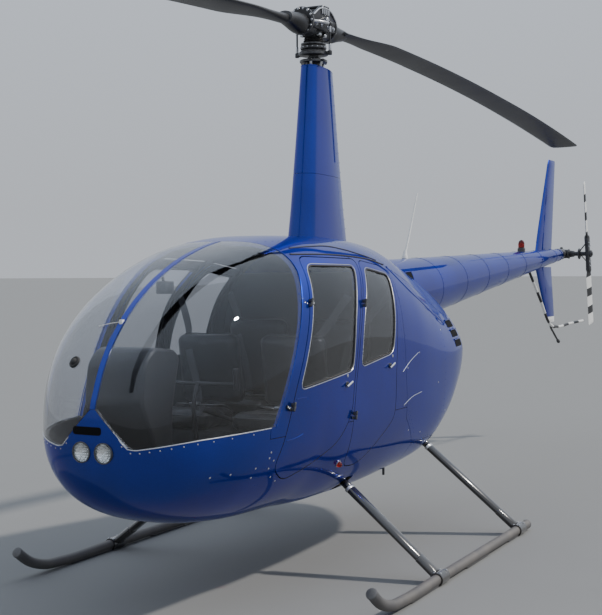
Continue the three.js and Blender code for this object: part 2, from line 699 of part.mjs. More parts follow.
const otherRoot = toGeometry(mainBlade(-1, GAP));
otherRoot.rotateZ(Math.PI);
const head = join(headParts).subtract(mainBlade(1, GAP)).subtract(toSolid(otherRoot));
add('rotor_head', head, black, rotor);

// Tail. The cone is a thin shell, closed behind and open into the engine bay.
const coneBore = rod(
  [CONE.front + WALL, 0, coneZ(CONE.front + WALL)],
  [CONE.back + CONE_WALL, 0, coneZ(CONE.back + CONE_WALL)],
  coneR(CONE.front) - CONE_WALL,
  20,
  coneR(CONE.back) - CONE_WALL,
);
add('tail_cone', cone(0).subtract(coneBore), paint);

// Fins: z, x of the leading edge, x of the trailing edge, thickness
const FINS = {
  upper_fin: [[1880, -4905, -5470, 46], [2100, -5010, -5505, 44], [2805, -5362, -5606, 26]],
  lower_fin: [[1190, -5338, -5590, 26], [1500, -5098, -5520, 40], [1740, -4912, -5465, 46]],
};
const coneClear = cone(GAP);
for (const [name, rows] of Object.entries(FINS)) {
  const loops = rows.map(([z, leadX, tailX, thick]) => foilLoop(leadX - tailX, thick, leadX)
    .map(([x, y]) => new THREE.Vector3(x, y, z)));
  add(name, toSolid(loft(loops)).subtract(coneClear), paint);
}
const STABILIZER = { y: [-60, -890], lead: -4880, chord: [400, 380], z: 1815, thick: 40 };
const stabLoops = STABILIZER.y.map((y, i) => foilLoop(STABILIZER.chord[i], STABILIZER.thick, STABILIZER.lead)
  .map(([x, z]) => new THREE.Vector3(x, y, STABILIZER.z + z)));
add('horizontal_stabilizer', toSolid(loft(stabLoops)).subtract(coneClear), paint);

const gearboxX = TAIL_ROTOR.x;
const GEARBOX_Y = 130;
add('tail_gearbox', join([
  rod([CONE.back - GAP, 0, coneZ(CONE.back)], [gearboxX - 60, 0, TAIL_ROTOR.z], 52, 14),
  rod([gearboxX, -60, TAIL_ROTOR.z], [gearboxX, GEARBOX_Y, TAIL_ROTOR.z], 50, 14),
]).subtract(coneClear), black);
add('tail_guard', tube([
  [-4690, 0, coneZ(-4690) - coneR(-4690) + 30], [-4950, 30, 1440], [-5240, 60, 1170],
  [-5420, 70, 1145], [-5800, 110, 1165], [-6150, 150, 1180],
], 13, 8, 14).subtract(coneClear), white);
const belowFin = box([-FAR, -FAR, 0], [FAR, FAR, FINS.lower_fin[0][0] - GAP]);
add('tail_skid', tube([
  [-5430, 0, 1220], [-5450, 0, 1150], [-5560, 0, 1080], [-5760, 0, 975],
], 11, 8, 8).intersect(belowFin), black);
const beacon = rod([-4440, 0, coneZ(-4440) + coneR(-4440) + GAP], [-4440, 0, 1990], 33, 12, 22);
add('beacon', beacon.subtract(coneClear), red);
add('whip_antenna', join([
  rod([-1517, 0, coneZ(-1517) + coneR(-1517) + GAP + 1], [-1530, 0, 1850], 26, 8, 8),
  rod([-1522, 0, 1810], [-1770, 0, 2282], 6, 8, 4),
]).subtract(coneClear), white);

// Tail rotor
const tailRotor = new THREE.Group();
tailRotor.position.set(TAIL_ROTOR.x, TAIL_ROTOR.y, TAIL_ROTOR.z);
tailRotor.rotation.y = TAIL_ROTOR_LEAN;
machine.add(tailRotor);
const TAIL_BLADE = [[0.2, 70, 30], [0.3, 130, 20], [0.96, 130, 15], [1, 112, 8]];
function tailBlade(extra = 0) {
  const pitch = THREE.MathUtils.degToRad(7);
  const loops = TAIL_BLADE.map(([share, chord, thick], i) => {
    const foil = foilLoop(chord + extra * 4, thick + extra * 4, chord * 0.4 + extra * 2);
    return foil.map(([x, y]) => new THREE.Vector3(
      x * Math.cos(pitch) - y * Math.sin(pitch),
      x * Math.sin(pitch) + y * Math.cos(pitch),
      share * TAIL_ROTOR.radius - (i === 0 ? extra : 0),
    ));
  });
  return toSolid(loft(loops));
}
const tailBladeNames = { tail_blade_upper: 0, tail_blade_lower: Math.PI };
for (const [name, turn] of Object.entries(tailBladeNames)) {
  add(name, tailBlade(), black, tailRotor).rotation.y = turn;
}
const tailRoot = tailBlade(GAP);
const otherTailRoot = toGeometry(tailRoot);
otherTailRoot.rotateY(Math.PI);
add('tail_rotor_hub', join([
  rod([0, GEARBOX_Y + GAP - TAIL_ROTOR.y, 0], [0, 50, 0], 22, 12),
  box([-36, -20, -180], [36, 20, 180]),
]).subtract(tailRoot).subtract(toSolid(otherTailRoot)), black, tailRotor);

// Undercarriage nodes
for (const [name, solid] of Object.entries(bows)) {
  add(`gear_bow_${name}`, solid, black);
}
for (const [word, side] of Object.entries(SIDES)) {
  add(`skid_${word}`, skid(side, 0), steel);
}

// Lamps
add('landing_lights', join([
  rod([2341, 61, 874], [2362, 61, 874], 50, 18),
  rod([2341, -61, 874], [2362, -61, 874], 50, 18),
  box([2335, -61, 850], [2352, 61, 900]),
]).subtract(outsideSkin), white);
add('nav_light_left', rod([896, 545, 662], [896, 590, 662], 16, 10).subtract(outsideSkin), red);
add('nav_light_right', rod([896, -545, 662], [896, -590, 662], 16, 10).subtract(outsideSkin), green);

const bounds = new THREE.Box3().setFromObject(machine, true);
const middle = bounds.getCenter(new THREE.Vector3());
machine.position.set(-middle.x, -middle.y, -bounds.min.z);

export default machine;
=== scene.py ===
# %% [markdown]
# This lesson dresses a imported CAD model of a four-seat light helicopter. The CAD holds what is solid and
# what moves. Here every surface gets its fine shape and its finish, in the same frame and at the same size.
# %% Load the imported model
import json
from math import cos, pi, radians, sin

import bpy
import numpy as np
from mathutils import Matrix, Vector


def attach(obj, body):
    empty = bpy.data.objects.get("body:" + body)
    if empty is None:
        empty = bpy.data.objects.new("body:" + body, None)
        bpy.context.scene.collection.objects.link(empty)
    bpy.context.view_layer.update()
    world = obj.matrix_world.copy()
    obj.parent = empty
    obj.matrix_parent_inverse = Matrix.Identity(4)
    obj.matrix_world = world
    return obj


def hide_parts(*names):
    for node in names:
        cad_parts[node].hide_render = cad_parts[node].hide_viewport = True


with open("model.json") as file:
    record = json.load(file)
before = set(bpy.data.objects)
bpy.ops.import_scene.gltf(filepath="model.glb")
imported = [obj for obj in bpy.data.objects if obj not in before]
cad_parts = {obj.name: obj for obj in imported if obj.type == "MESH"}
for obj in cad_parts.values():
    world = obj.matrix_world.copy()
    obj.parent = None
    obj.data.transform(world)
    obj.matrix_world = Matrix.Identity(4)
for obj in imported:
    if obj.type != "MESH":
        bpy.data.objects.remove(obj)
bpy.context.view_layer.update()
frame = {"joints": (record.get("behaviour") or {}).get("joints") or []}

joints = {joint["name"]: joint for joint in frame["joints"]}
MAST_X = joints["main_rotor_spin"]["pos_m"][0]

# %% [markdown]
# The tables below are in metres from the ground under the mast: x to the nose, y to port, z up. Only the
# last step of making a piece moves its points to the frame, whose origin is the middle of the machine.
#
# A shape is a pair: an array of points, and a list of arrays of faces. Shapes are worked out as whole
# arrays, joined, and put into a mesh in one go, which is far quicker than adding one face after another.
# %% Shapes and meshes
LEFT = 1
SIDES = {"left": LEFT, "right": -LEFT}
AHEAD, PORT, UP = np.eye(3)


def joined(shapes):
    """One shape from many: points end to end, and each shape's faces counted on from its first point."""
    points, faces, first = [], [], 0
    for shape_points, shape_faces in shapes:
        points.append(shape_points)
        faces += [np.asarray(group) + first for group in shape_faces]
        first += len(shape_points)
    return np.concatenate(points), faces


def triangles(faces):
    """Every face as triangles that fan out from its first corner."""
    parts = [group[:, [0, i, i + 1]] for group in faces for i in range(1, group.shape[1] - 1)]
    return np.concatenate(parts)


def outwards(shape):
    """The same closed shape with its faces pointing out: turned round if its volume, the sum of
    a . (b x c) / 6 over its triangles, is negative."""
    points, faces = shape
    a, b, c = (points[corner] for corner in triangles(faces).T)
    volume = np.einsum("ij,ij->", a, np.cross(b, c)) / 6
    return (points, [group[:, ::-1] for group in faces]) if volume < 0 else (points, faces)


def mirrored(shape):
    """The same shape on the other side of the centreline."""
    points, faces = shape
    return points * [1, -1, 1], [group[:, ::-1] for group in faces]


def on_side(shape, side):
    return shape if side == LEFT else mirrored(shape)


def all_on_side(shapes, side):
    return [on_side(shape, side) for shape in shapes]


def both(*shapes):
    """Shapes of the port side and their mirror images."""
    return [*shapes, *map(mirrored, shapes)]


def turned(shape, matrix):
    """The shape carried by a 4 x 4 matrix."""
    points, faces = shape
    array = np.array(matrix)
    return points @ array[:3, :3].T + array[:3, 3], faces


def mesh_of(name, shape):
    points, faces = shape
    mesh = bpy.data.meshes.new(name)
    mesh.vertices.add(len(points))
    mesh.vertices.foreach_set("co", np.asarray(points, np.float32).ravel())
    corners = np.concatenate([group.ravel() for group in faces])
    sizes = np.concatenate([np.full(len(group), group.shape[1]) for group in faces])
    mesh.loops.add(len(corners))
    mesh.loops.foreach_set("vertex_index", corners.astype(np.int32))
    mesh.polygons.add(len(sizes))
    mesh.polygons.foreach_set("loop_start", (np.cumsum(sizes) - sizes).astype(np.int32))
    mesh.update(calc_edges=True)
    mesh.validate()
    return mesh


def in_scene(name, data):
    """A new object for a mesh, a lamp or a camera, linked to the scene."""
    made = bpy.data.objects.new(name, data)
    bpy.context.scene.collection.objects.link(made)
    return made


CABIN_MIDDLE = (0.9, 0, 1.25)


def put(name, shapes, material, body="airframe", stands_for=(), sharp=35, lining=None):
    """Makes one piece of the machine from shapes, smooth except at edges sharper than an angle in degrees.
    A lining is a second material, for the faces of a shell that don't look outwards. The cut walls in seams,
    gaps and window reveals take it too, and there its dark colour is painted shade."""
    points, faces = joined(shapes if isinstance(shapes, list) else [shapes])
    mesh = mesh_of(name, (points + [MAST_X, 0, 0], faces))
    mesh.materials.append(material)
    if lining:
        mesh.materials.append(lining)
        middle, normal = np.empty(3 * len(mesh.polygons)), np.empty(3 * len(mesh.polygons))
        mesh.polygons.foreach_get("center", middle)
        mesh.polygons.foreach_get("normal", normal)
        from_axis = middle.reshape(-1, 3) - [MAST_X, 0, 0] - CABIN_MIDDLE
        from_axis[:, 0] *= 0.35
        # Faces that look sideways, the cut walls of seams, gaps and window reveals, take the dark lining as
        # painted shade.
        inward_or_shaded_edge = np.sum(unit(from_axis) * normal.reshape(-1, 3), 1) < 0.2
        mesh.polygons.foreach_set("material_index", inward_or_shaded_edge.astype(np.int32))
    mesh.shade_smooth()
    mesh.set_sharp_from_angle(angle=radians(sharp))
    piece = in_scene(name, mesh)
    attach(piece, body)
    if stands_for:
        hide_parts(*([stands_for] if isinstance(stands_for, str) else stands_for))
    print(name, "has", len(mesh.polygons), "faces")
    return piece


# %% [markdown]
# Four ways of making a shape cover most of the machine: a skin over rows of points, a round tube along a
# path, a turned profile, and a flat outline given thickness with softened edges.
# %% Lofts, tubes, turned parts and plates
def loft(rows, ring=False):
    """A skin over rows of equally many points that go round. Each end is closed by a fan to the row's
    middle, or in a ring the last row joins the first."""
    rows = np.asarray(rows, float)
    count, around = rows.shape[:2]
    points = rows.reshape(-1, 3)
    row = np.arange(count if ring else count - 1)[:, None]
    first, second = row * around, (row + 1) % count * around
    here = np.arange(around)
    there = (here + 1) % around
    quads = np.stack([first + here, first + there, second + there, second + here], -1).reshape(-1, 4)
    if ring:
        return outwards((points, [quads]))
    last = (count - 1) * around
    start_fan = np.stack([np.full(around, len(points)), there, here], -1)
    end_fan = np.stack([np.full(around, len(points) + 1), last + here, last + there], -1)
    return outwards((np.concatenate([points, rows[[0, -1]].mean(1)]), [quads, start_fan, end_fan]))


def run_of(path):
    """The distance gone at each point of a path."""
    return np.concatenate([[0], np.cumsum(np.linalg.norm(np.diff(path, axis=0), axis=1))])


def curve(points, count):
    """A smooth path through a few points: each coordinate is a cubic of the distance gone, whose slope at
    a point is the mean of the slopes on its two sides."""
    points = np.asarray(points, float)
    gone = run_of(points)
    slope = np.gradient(points, gone, axis=0)
    at = np.linspace(0, gone[-1], count)
    i = np.clip(np.searchsorted(gone, at, side="right") - 1, 0, len(gone) - 2)
    step = (gone[i + 1] - gone[i])[:, None]
    t = (at - gone[i])[:, None] / step
    rise = points[i + 1] - points[i]
    curl_a = slope[i] * step - rise
    curl_b = rise - slope[i + 1] * step
    return points[i] + t * rise + t * (1 - t) * ((1 - t) * curl_a + t * curl_b)


def unit(vectors):
    return vectors / np.linalg.norm(vectors, axis=-1, keepdims=True)


def carried(places, section, across, over):
    """A flat section of [across, over] points at each place, on the two directions there."""
    return places[:, None] + section[..., :1] * across[:, None] + section[..., 1:] * over[:, None]


def along(path, section, up, scale=None):
    """A flat section of [across, up] points carried along a path, square to it, with its second axis
    leaning to a given direction. Scale is one factor for each point of the path."""
    path = np.asarray(path, float)
    ahead = unit(np.gradient(path, axis=0))
    across = unit(np.cross(ahead, up))
    over = np.cross(across, ahead)
    size = np.ones(len(path)) if scale is None else np.asarray(scale)
    return loft(carried(path, section * size[:, None, None], across, over))


def angles(count):
    """Angles evenly spaced round a turn."""
    return np.arange(count) / count * 2 * pi


def ring(radius, sides):
    angle = angles(sides)
    return radius * np.stack([np.cos(angle), np.sin(angle)], -1)


def level_ring(radius, sides, height=0.0, flat=1.0):
    """Points round a level circle, or an ellipse with its y times flat."""
    return np.column_stack([ring(radius, sides) * [1, flat], np.full(sides, height)])


def tube(path, radius, sides, up=UP, scale=None):
    return along(path, ring(radius, sides), up, scale)


def spokes(direction, sides):
    """The unit vector in a direction, and unit vectors square to it all the way round."""
    ahead = unit(np.asarray(direction, float))
    across = unit(np.cross(ahead, UP if abs(ahead[2]) < 0.9 else AHEAD))
    angle = angles(sides)[:, None]
    return ahead, np.cos(angle) * across + np.sin(angle) * np.cross(ahead, across)


def lathe(profile, start, direction, sides=32):
    """A profile of [distance, radius] rows turned about the line from start in a direction."""
    ahead, spoke = spokes(direction, sides)
    profile = np.asarray(profile, float)
    return loft(np.asarray(start) + profile[:, :1, None] * ahead + profile[:, 1:, None] * spoke)


def hoop(section, start, direction, sides):
    """A closed section of [distance, radius] rows carried round a line into a ring."""
    ahead, spoke = spokes(direction, sides)
    return loft(carried(np.asarray(start)[None], np.asarray(section)[None], ahead[None], spoke), ring=True)


def rounded_rod(start, end, radius, edge=None, sides=24):
    """A cylinder from start to end whose rims are rounded by edge."""
    start, end = np.asarray(start, float), np.asarray(end, float)
    length = np.linalg.norm(end - start)
    edge = min(radius, length / 2) * 0.25 if edge is None else edge
    turn = np.linspace(0, pi / 2, 4)
    low = np.stack([edge * (1 - np.sin(turn)), radius - edge * (1 - np.cos(turn))], -1)[::-1]
    profile = np.concatenate([low, np.stack([length - low[::-1, 0], low[::-1, 1]], -1)])
    return lathe(profile, start, end - start, sides)


def rectangle(u_low, v_low, u_high, v_high, radius=0.0):
    """The four [u, v, radius] corners, anticlockwise."""
    return [[u_low, v_low, radius], [u_high, v_low, radius], [u_high, v_high, radius],
            [u_low, v_high, radius]]


def rounded(corners, steps=8):
    """An outline from rows of [u, v, radius]: each corner becomes a parabola that starts and ends at its
    radius from the corner, or nearer on a short side."""
    corners = np.asarray(corners, float)
    here = corners[:, :2]
    back, ahead = np.roll(here, 1, 0) - here, np.roll(here, -1, 0) - here
    reach_back, reach_ahead = np.linalg.norm(back, axis=1), np.linalg.norm(ahead, axis=1)
    reach = np.minimum(corners[:, 2], 0.45 * np.minimum(reach_back, reach_ahead))[:, None]
    start = here + back / reach_back[:, None] * reach
    end = here + ahead / reach_ahead[:, None] * reach
    t = np.linspace(0, 1, steps)[:, None, None]
    bend = (1 - t) ** 2 * start + 2 * t * (1 - t) * here + t**2 * end
    outline = bend.transpose(1, 0, 2).reshape(-1, 2)
    apart = np.linalg.norm(outline - np.roll(outline, 1, 0), axis=1) > 1e-6
    return outline[apart]


def grown(corners, distance):
    """An outline of [u, v, radius] corners, anticlockwise, with each edge moved outwards."""
    corners = np.asarray(corners, float)
    here = corners[:, :2]
    into, out = unit(here - np.roll(here, 1, 0)), unit(np.roll(here, -1, 0) - here)
    apart = np.stack([into[:, 1] + out[:, 1], -into[:, 0] - out[:, 0]], -1)
    moved = here + apart * (2 * distance / (apart**2).sum(1))[:, None]
    return np.column_stack([moved, np.maximum(corners[:, 2] + distance, 0)])


def inset(outline, distance):
    """A fine outline with every point moved inwards, square to its neighbours' chord."""
    chord = unit(np.roll(outline, -1, 0) - np.roll(outline, 1, 0))
    area = np.sum(outline[:, 0] * np.roll(outline[:, 1], -1) - np.roll(outline[:, 0], -1) * outline[:, 1])
    return outline + np.stack([-chord[:, 1], chord[:, 0]], -1) * distance * np.sign(area)


def plate(outline, origin, u_axis, v_axis, depth, edge=0.0, steps=3):
    """A flat outline in the plane of two axes, given depth along u x v, with both rims rounded by edge."""
    normal = unit(np.cross(u_axis, v_axis))
    turn = np.linspace(0, pi / 2, steps) if edge else np.array([0.0])
    low = [(edge * (1 - sin(a)), edge * (1 - cos(a))) for a in turn]
    rows = []
    for shrink, height in low + [(shrink, depth - height) for shrink, height in low[::-1]]:
        flat = inset(outline, shrink) if shrink > 1e-9 else outline
        rows.append(np.asarray(origin) + flat[:, :1] * u_axis + flat[:, 1:] * v_axis + height * normal)
    return loft(rows)


def block(low, high, edge, corner):
    """A box between two corners, with its upright edges rounded by corner and its rims by edge."""
    wide, deep, tall = np.subtract(high, low)
    return plate(rounded(rectangle(0, 0, wide, deep, corner), 4), low, AHEAD, PORT, tall, edge)


print("shape tools ready")

# %% [markdown]
# The cabin shell is the heart of the machine: an egg of moulded panels, doors and windows that all lie on
# one smooth surface. Its sections are superellipses, whose width and height are read from a short table.
# Between its rows each column is a cubic of the square root of the distance behind the nose, because a
# blunt nose grows with that root. Every panel is then the part of one thick shell inside its own outline.
# %% The shell's surface
NOSE_X = 2.358
TAIL_END_X = -1.69
# Columns: x, belly z, roof z, half width, z of the greatest width, squareness above and below it
SHELL = np.array([
    [NOSE_X, 0.940, 0.940, 0.000, 0.940, 2.2, 2.0],
    [2.350, 0.800, 1.080, 0.125, 0.940, 2.2, 2.0],
    [2.325, 0.715, 1.150, 0.228, 0.940, 2.3, 2.1],
    [2.270, 0.635, 1.270, 0.325, 0.940, 2.4, 2.1],
    [2.160, 0.560, 1.415, 0.428, 0.950, 2.6, 2.2],
    [2.000, 0.500, 1.555, 0.507, 0.980, 2.7, 2.3],
    [1.765, 0.450, 1.692, 0.575, 1.020, 2.7, 2.4],
    [1.500, 0.425, 1.795, 0.613, 1.060, 2.8, 2.5],
    [1.200, 0.415, 1.865, 0.634, 1.080, 3.0, 2.5],
    [0.800, 0.400, 1.907, 0.642, 1.100, 3.1, 2.8],
    [0.300, 0.400, 1.913, 0.642, 1.120, 2.9, 2.95],
    [-0.200, 0.420, 1.900, 0.637, 1.130, 2.3, 3.0],
    [-0.600, 0.460, 1.860, 0.617, 1.140, 1.8, 3.3],
    [-0.950, 0.522, 1.800, 0.585, 1.150, 1.5, 2.8],
    [-1.250, 0.605, 1.720, 0.530, 1.160, 1.45, 2.2],
    [-1.450, 0.700, 1.620, 0.462, 1.170, 1.5, 2.0],
    [-1.600, 0.820, 1.500, 0.375, 1.180, 1.6, 2.0],
    [TAIL_END_X, 0.950, 1.380, 0.260, 1.180, 1.8, 2.0],
])
SHELL_ROWS = 150
SHELL_QUARTER = 40
WALL = 0.025


def columns(table, at):
    """A table's other columns at values of its first, which rises: straight between the rows."""
    return [np.interp(at, table[:, 0], column) for column in table.T[1:]]


def monotone(known_x, known_y, x):
    """Cubics through known points that never overshoot: the slope at a point is the harmonic mean of the
    slopes on its sides, or nothing where those differ in sign. The known x rise."""
    step = np.diff(known_x)
    secant = np.diff(known_y, axis=0) / step[:, None]
    before, after = secant[:-1], secant[1:]
    total = before + after
    mean = np.where(before * after > 0, 2 * before * after / np.where(total == 0, 1, total), 0)
    slope = np.concatenate([secant[:1], mean, secant[-1:]])
    i = np.clip(np.searchsorted(known_x, x, side="right") - 1, 0, len(step) - 1)
    width = step[i][:, None]
    t = (x - known_x[i])[:, None] / width
    keep = (1 + 2 * t) * (1 - t) ** 2 * known_y[i] + t**2 * (3 - 2 * t) * known_y[i + 1]
    return keep + width * (t * (1 - t) ** 2 * slope[i] + t**2 * (t - 1) * slope[i + 1])


def shell_rows(x):
    """The table's columns at each x, as cubics of the root of the distance behind the nose."""
    return monotone(np.sqrt(NOSE_X - SHELL[:, 0]), SHELL[:, 1:], np.sqrt(NOSE_X - np.asarray(x)))


def superellipse(angle, half, middle, belly, roof, above, below):
    """y = half cos^(2/p), z = middle + rise sin^(2/p), with the sign of each kept and p and rise taken
    from above or below the widest place."""
    c, s = np.cos(angle), np.sin(angle)
    power = 2 / np.where(s >= 0, above, below)
    rise = np.where(s >= 0, roof - middle, middle - belly)
    y = half * np.sign(c) * np.abs(c) ** power
    return y, middle + rise * np.sign(s) * np.abs(s) ** power


def shell_grid(x_end):
    """Rows of points over the shell from the nose to x_end, evenly spaced round each quarter of a row."""
    root = np.linspace(0, 1, SHELL_ROWS) ** 1.15 * np.sqrt(NOSE_X - x_end)
    x = NOSE_X - root**2
    belly, roof, half, middle, above, below = shell_rows(x).T[..., None]
    quarters = []
    for quarter in range(4):
        angle = (quarter + np.linspace(0, 1, 90)) * pi / 2
        y, z = superellipse(angle[None], half, middle, belly, roof, above, below)
        gone = np.concatenate([np.zeros((len(x), 1)), np.cumsum(np.hypot(np.diff(y), np.diff(z)), 1)], 1)
        share = np.arange(SHELL_QUARTER) / SHELL_QUARTER
        even = np.stack([np.interp(share * row[-1], row, angle) for row in gone])
        quarters.append(even)
    angle = np.concatenate(quarters, 1)
    y, z = superellipse(angle, half, middle, belly, roof, above, below)
    return np.stack([np.broadcast_to(x[:, None], y.shape), y, z], -1)


def shell_solid(depth):
    """The closed body whose skin lies depth inside the shell, moved along the surface's own normals."""
    grid = shell_grid(TAIL_END_X + max(depth, 0))
    down = np.gradient(grid, axis=0)
    across = np.roll(grid, -1, 1) - np.roll(grid, 1, 1)
    normal = np.cross(down, across)
    normal[0] = [1, 0, 0]
    return loft(grid - unit(normal) * depth)


def shell_y(x, z):
    """How far out the port side's skin is at a place seen from the side."""
    x, z = np.broadcast_arrays(np.asarray(x, float), np.asarray(z, float))
    belly, roof, half, middle, above, below = shell_rows(x.ravel()).T.reshape((6,) + x.shape)
    upper = z > middle
    reach = np.where(upper, roof - middle, middle - belly)
    power = np.where(upper, above, below)
    share = np.clip(np.abs(z - middle) / reach, 0, 1)
    return half * (1 - share**power) ** (1 / power)


def shell_point(x, z, lift=0.0):
    """Points on the port side's skin, lifted off it, and the outward normals there, from small steps."""
    step = 0.004
    x, z = np.broadcast_arrays(np.asarray(x, float), np.asarray(z, float))
    here = np.stack([x, shell_y(x, z), z], -1)
    behind = here - np.stack([x - step, shell_y(x - step, z), z], -1)
    above = np.stack([x, shell_y(x, z + step), z + step], -1) - here
    normal = unit(np.cross(above, behind))
    return here + normal * lift, normal


def rim(outline, section, lift=0.0):
    """A section of [across, out] points carried round a closed outline of [x, z] on the port skin: across
    lies in the skin, square to the outline, and out is along the skin's normal. A point every 12 mm or so
    keeps long sides on the skin."""
    closed = np.concatenate([outline, outline[:1]])
    run = run_of(closed)
    at = np.unique(np.concatenate([run, np.arange(0, run[-1], 0.012)]))[:-1]
    at = at[np.diff(at, append=run[-1]) > 1e-4]
    x, z = (np.interp(at, run, closed[:, i]) for i in (0, 1))
    place, normal = shell_point(x, z, lift)
    ahead = unit(np.roll(place, -1, 0) - np.roll(place, 1, 0))
    across = unit(np.cross(normal, ahead))
    return loft(carried(place, np.asarray(section)[None], across, normal), ring=True)


def strip_on_skin(path, width, height, count=40):
    """A low rounded bar on the port skin along a smooth path of [x, z] points."""
    path = curve(path, count)
    place, normal = shell_point(path[:, 0], path[:, 1])
    ahead = unit(np.gradient(place, axis=0))
    across = unit(np.cross(normal, ahead))
    angle = np.linspace(0, pi, 7)
    arc = np.stack([np.cos(angle) * width / 2, np.sin(angle) * height], -1)
    section = np.concatenate([arc, [[-width / 2, -0.004], [width / 2, -0.004]]])[None]
    return loft(carried(place, section, across, normal))


# %% [markdown]
# Cutting: Blender's Boolean modifier with its manifold solver cuts closed meshes in a blink.
# All the cuts of one call are worked out together, and the result comes back as a shape.
# %% Cutting
def shape_of(thing):
    """The mesh of an object after its modifiers, as a shape."""
    result = thing.evaluated_get(bpy.context.evaluated_depsgraph_get()).data
    points = np.empty(len(result.vertices) * 3, np.float32)
    result.vertices.foreach_get("co", points)
    corners = np.empty(len(result.loops), np.int32)
    result.loops.foreach_get("vertex_index", corners)
    starts = np.empty(len(result.polygons), np.int32)
    result.polygons.foreach_get("loop_start", starts)
    sizes = np.diff(np.append(starts, len(corners)))
    faces = [corners[starts[sizes == size][:, None] + np.arange(size)] for size in np.unique(sizes)]
    return points.reshape(-1, 3).astype(float), faces


def carve(shape, within=None, less=()):
    """The part of a shape within another, less every other one: a Boolean modifier for each."""
    steps = [("INTERSECT", within)] * (within is not None) + [("DIFFERENCE", cutter) for cutter in less]
    objects = [in_scene(f"cut_{i}", mesh_of(f"cut_{i}", part))
               for i, part in enumerate([shape] + [cutter for _, cutter in steps])]
    for (operation, _), cutter in zip(steps, objects[1:]):
        modifier = objects[0].modifiers.new(operation, "BOOLEAN")
        modifier.operation, modifier.object, modifier.solver = operation, cutter, "MANIFOLD"
    result = shape_of(objects[0])
    for thing in objects:
        bpy.data.meshes.remove(thing.data)
    return result


def side_prism(corners, y_low=-3.0, y_high=3.0):
    """An outline in x and z carried along y."""
    return plate(rounded(corners), [0, y_high, 0], AHEAD, UP, y_high - y_low)


def port_prism(corners):
    """An outline in x and z carried through the port side alone."""
    return side_prism(corners, 0.2, 0.9)


def front_prism(corners, x_low, x_high):
    """An outline in y and z carried along x."""
    return plate(rounded(corners), [x_low, 0, 0], PORT, UP, x_high - x_low)


outer, inner = shell_solid(0), shell_solid(WALL)
print("shell of", len(outer[0]), "points")

# %% [markdown]
# The camera stands off the port front quarter, 1.7 m above the ground, where the photograph was taken. Its
# place, angles and focal length came from fitting known lengths of this kind of machine to the picture.
# %% Camera
IMAGE_HEIGHT = 615
FOCAL_PIXELS = 1287.08
CAMERA_AT = (7.2095, 3.473, 1.7023)
YAW, PITCH, ROLL = 3.6009, -0.0278, -0.0038

camera_data = bpy.data.cameras.new("camera")
camera_data.lens = FOCAL_PIXELS * camera_data.sensor_width / IMAGE_HEIGHT
camera = in_scene("camera", camera_data)
ahead = Vector((cos(YAW) * cos(PITCH), sin(YAW) * cos(PITCH), sin(PITCH)))
level = Vector((sin(YAW), -cos(YAW), 0))
upright = level.cross(ahead)
right = cos(ROLL) * level + sin(ROLL) * upright
above = cos(ROLL) * upright - sin(ROLL) * level
camera.matrix_world = Matrix.Translation(Vector(CAMERA_AT) + Vector((MAST_X, 0, 0))) @ Matrix(
    (right, above, -ahead)).transposed().to_4x4()
bpy.context.scene.camera = camera
print("lens", round(camera_data.lens, 2), "mm")

# %% [markdown]
# Finishes are node trees. A few effects are shared by nearly all of them, so each is a node group: fine
# grain with slow changes of tone, dust that settles on what faces up and low down, and edges worn bright.
# A group gives colour, roughness and normal, and each material feeds them to its own Principled shader.
# %% Node tools
def node(tree, kind, settings=None, **inputs):
    """Adds a shader node. An input is named, with _ for a space, or numbered as _0, and is given a value
    or another node's output."""
    made = tree.nodes.new("ShaderNode" + kind)
    for key, value in (settings or {}).items():
        setattr(made, key, value)
    for key, value in inputs.items():
        socket = made.inputs[int(key[1:])] if key[0] == "_" else made.inputs[key.replace("_", " ")]
        if isinstance(value, bpy.types.NodeSocket):
            tree.links.new(value, socket)
        else:
            socket.default_value = value
    return made


def reckon(tree, operation, first, second, third=0.0):
    """One step of arithmetic on values: the node's output."""
    return node(tree, "Math", {"operation": operation}, _0=first, _1=second, _2=third).outputs[0]


def mix_colour(tree, share, first, second):
    return node(tree, "Mix", {"data_type": "RGBA"}, _0=share, _6=first, _7=second).outputs[2]


SOCKET_KINDS = {"Color": "NodeSocketColor", "Tint": "NodeSocketColor", "Normal": "NodeSocketVector"}


def node_group(name, inputs, outputs):
    """An empty group with named sockets: Color and Tint are colours, Normal a vector, the rest numbers."""
    tree = bpy.data.node_groups.new(name, "ShaderNodeTree")
    for direction, sockets in (("INPUT", inputs), ("OUTPUT", outputs)):
        for socket in sockets:
            kind = SOCKET_KINDS.get(socket, "NodeSocketFloat")
            tree.interface.new_socket(socket, in_out=direction, socket_type=kind)
    given = tree.nodes.new("NodeGroupInput").outputs
    result = tree.nodes.new("NodeGroupOutput").inputs
    return tree, given, result


def use_group(tree, group, **inputs):
    return node(tree, "Group", {"node_tree": group}, **inputs).outputs


def new_material(name, **sockets):
    """A material, its node tree and its Principled shader, whose named sockets are set."""
    made = bpy.data.materials.new(name)
    made.use_nodes = True
    shader = made.node_tree.nodes["Principled BSDF"]
    for socket, value in sockets.items():
        shader.inputs[socket.replace("_", " ")].default_value = value
    return made, made.node_tree, shader


# %% [markdown]
# The grain group: one noise changes the tone slowly over the piece, and a fine one changes the roughness
# and raises a slight bump.
# %% Shared effects
grain, given, result = node_group("fine_grain", ["Color", "Roughness", "Tone", "Spread", "Scale", "Depth"],
                                  ["Color", "Roughness", "Normal"])
place = node(grain, "TexCoord").outputs["Object"]
slow = node(grain, "TexNoise", Vector=place, Scale=2.3, Detail=4.0).outputs[0]
fine = node(grain, "TexNoise", Vector=place, Scale=given["Scale"], Detail=3.0).outputs[0]
mixed = reckon(grain, "ADD", reckon(grain, "MULTIPLY", slow, 0.6), reckon(grain, "MULTIPLY", fine, 0.4))
off_centre = reckon(grain, "SUBTRACT", mixed, 0.5)
value = reckon(grain, "MULTIPLY_ADD", off_centre, given["Tone"], 1.0)
toned = node(grain, "HueSaturation", Value=value, Color=given["Color"]).outputs[0]
rough = reckon(grain, "MULTIPLY_ADD", off_centre, given["Spread"], given["Roughness"])
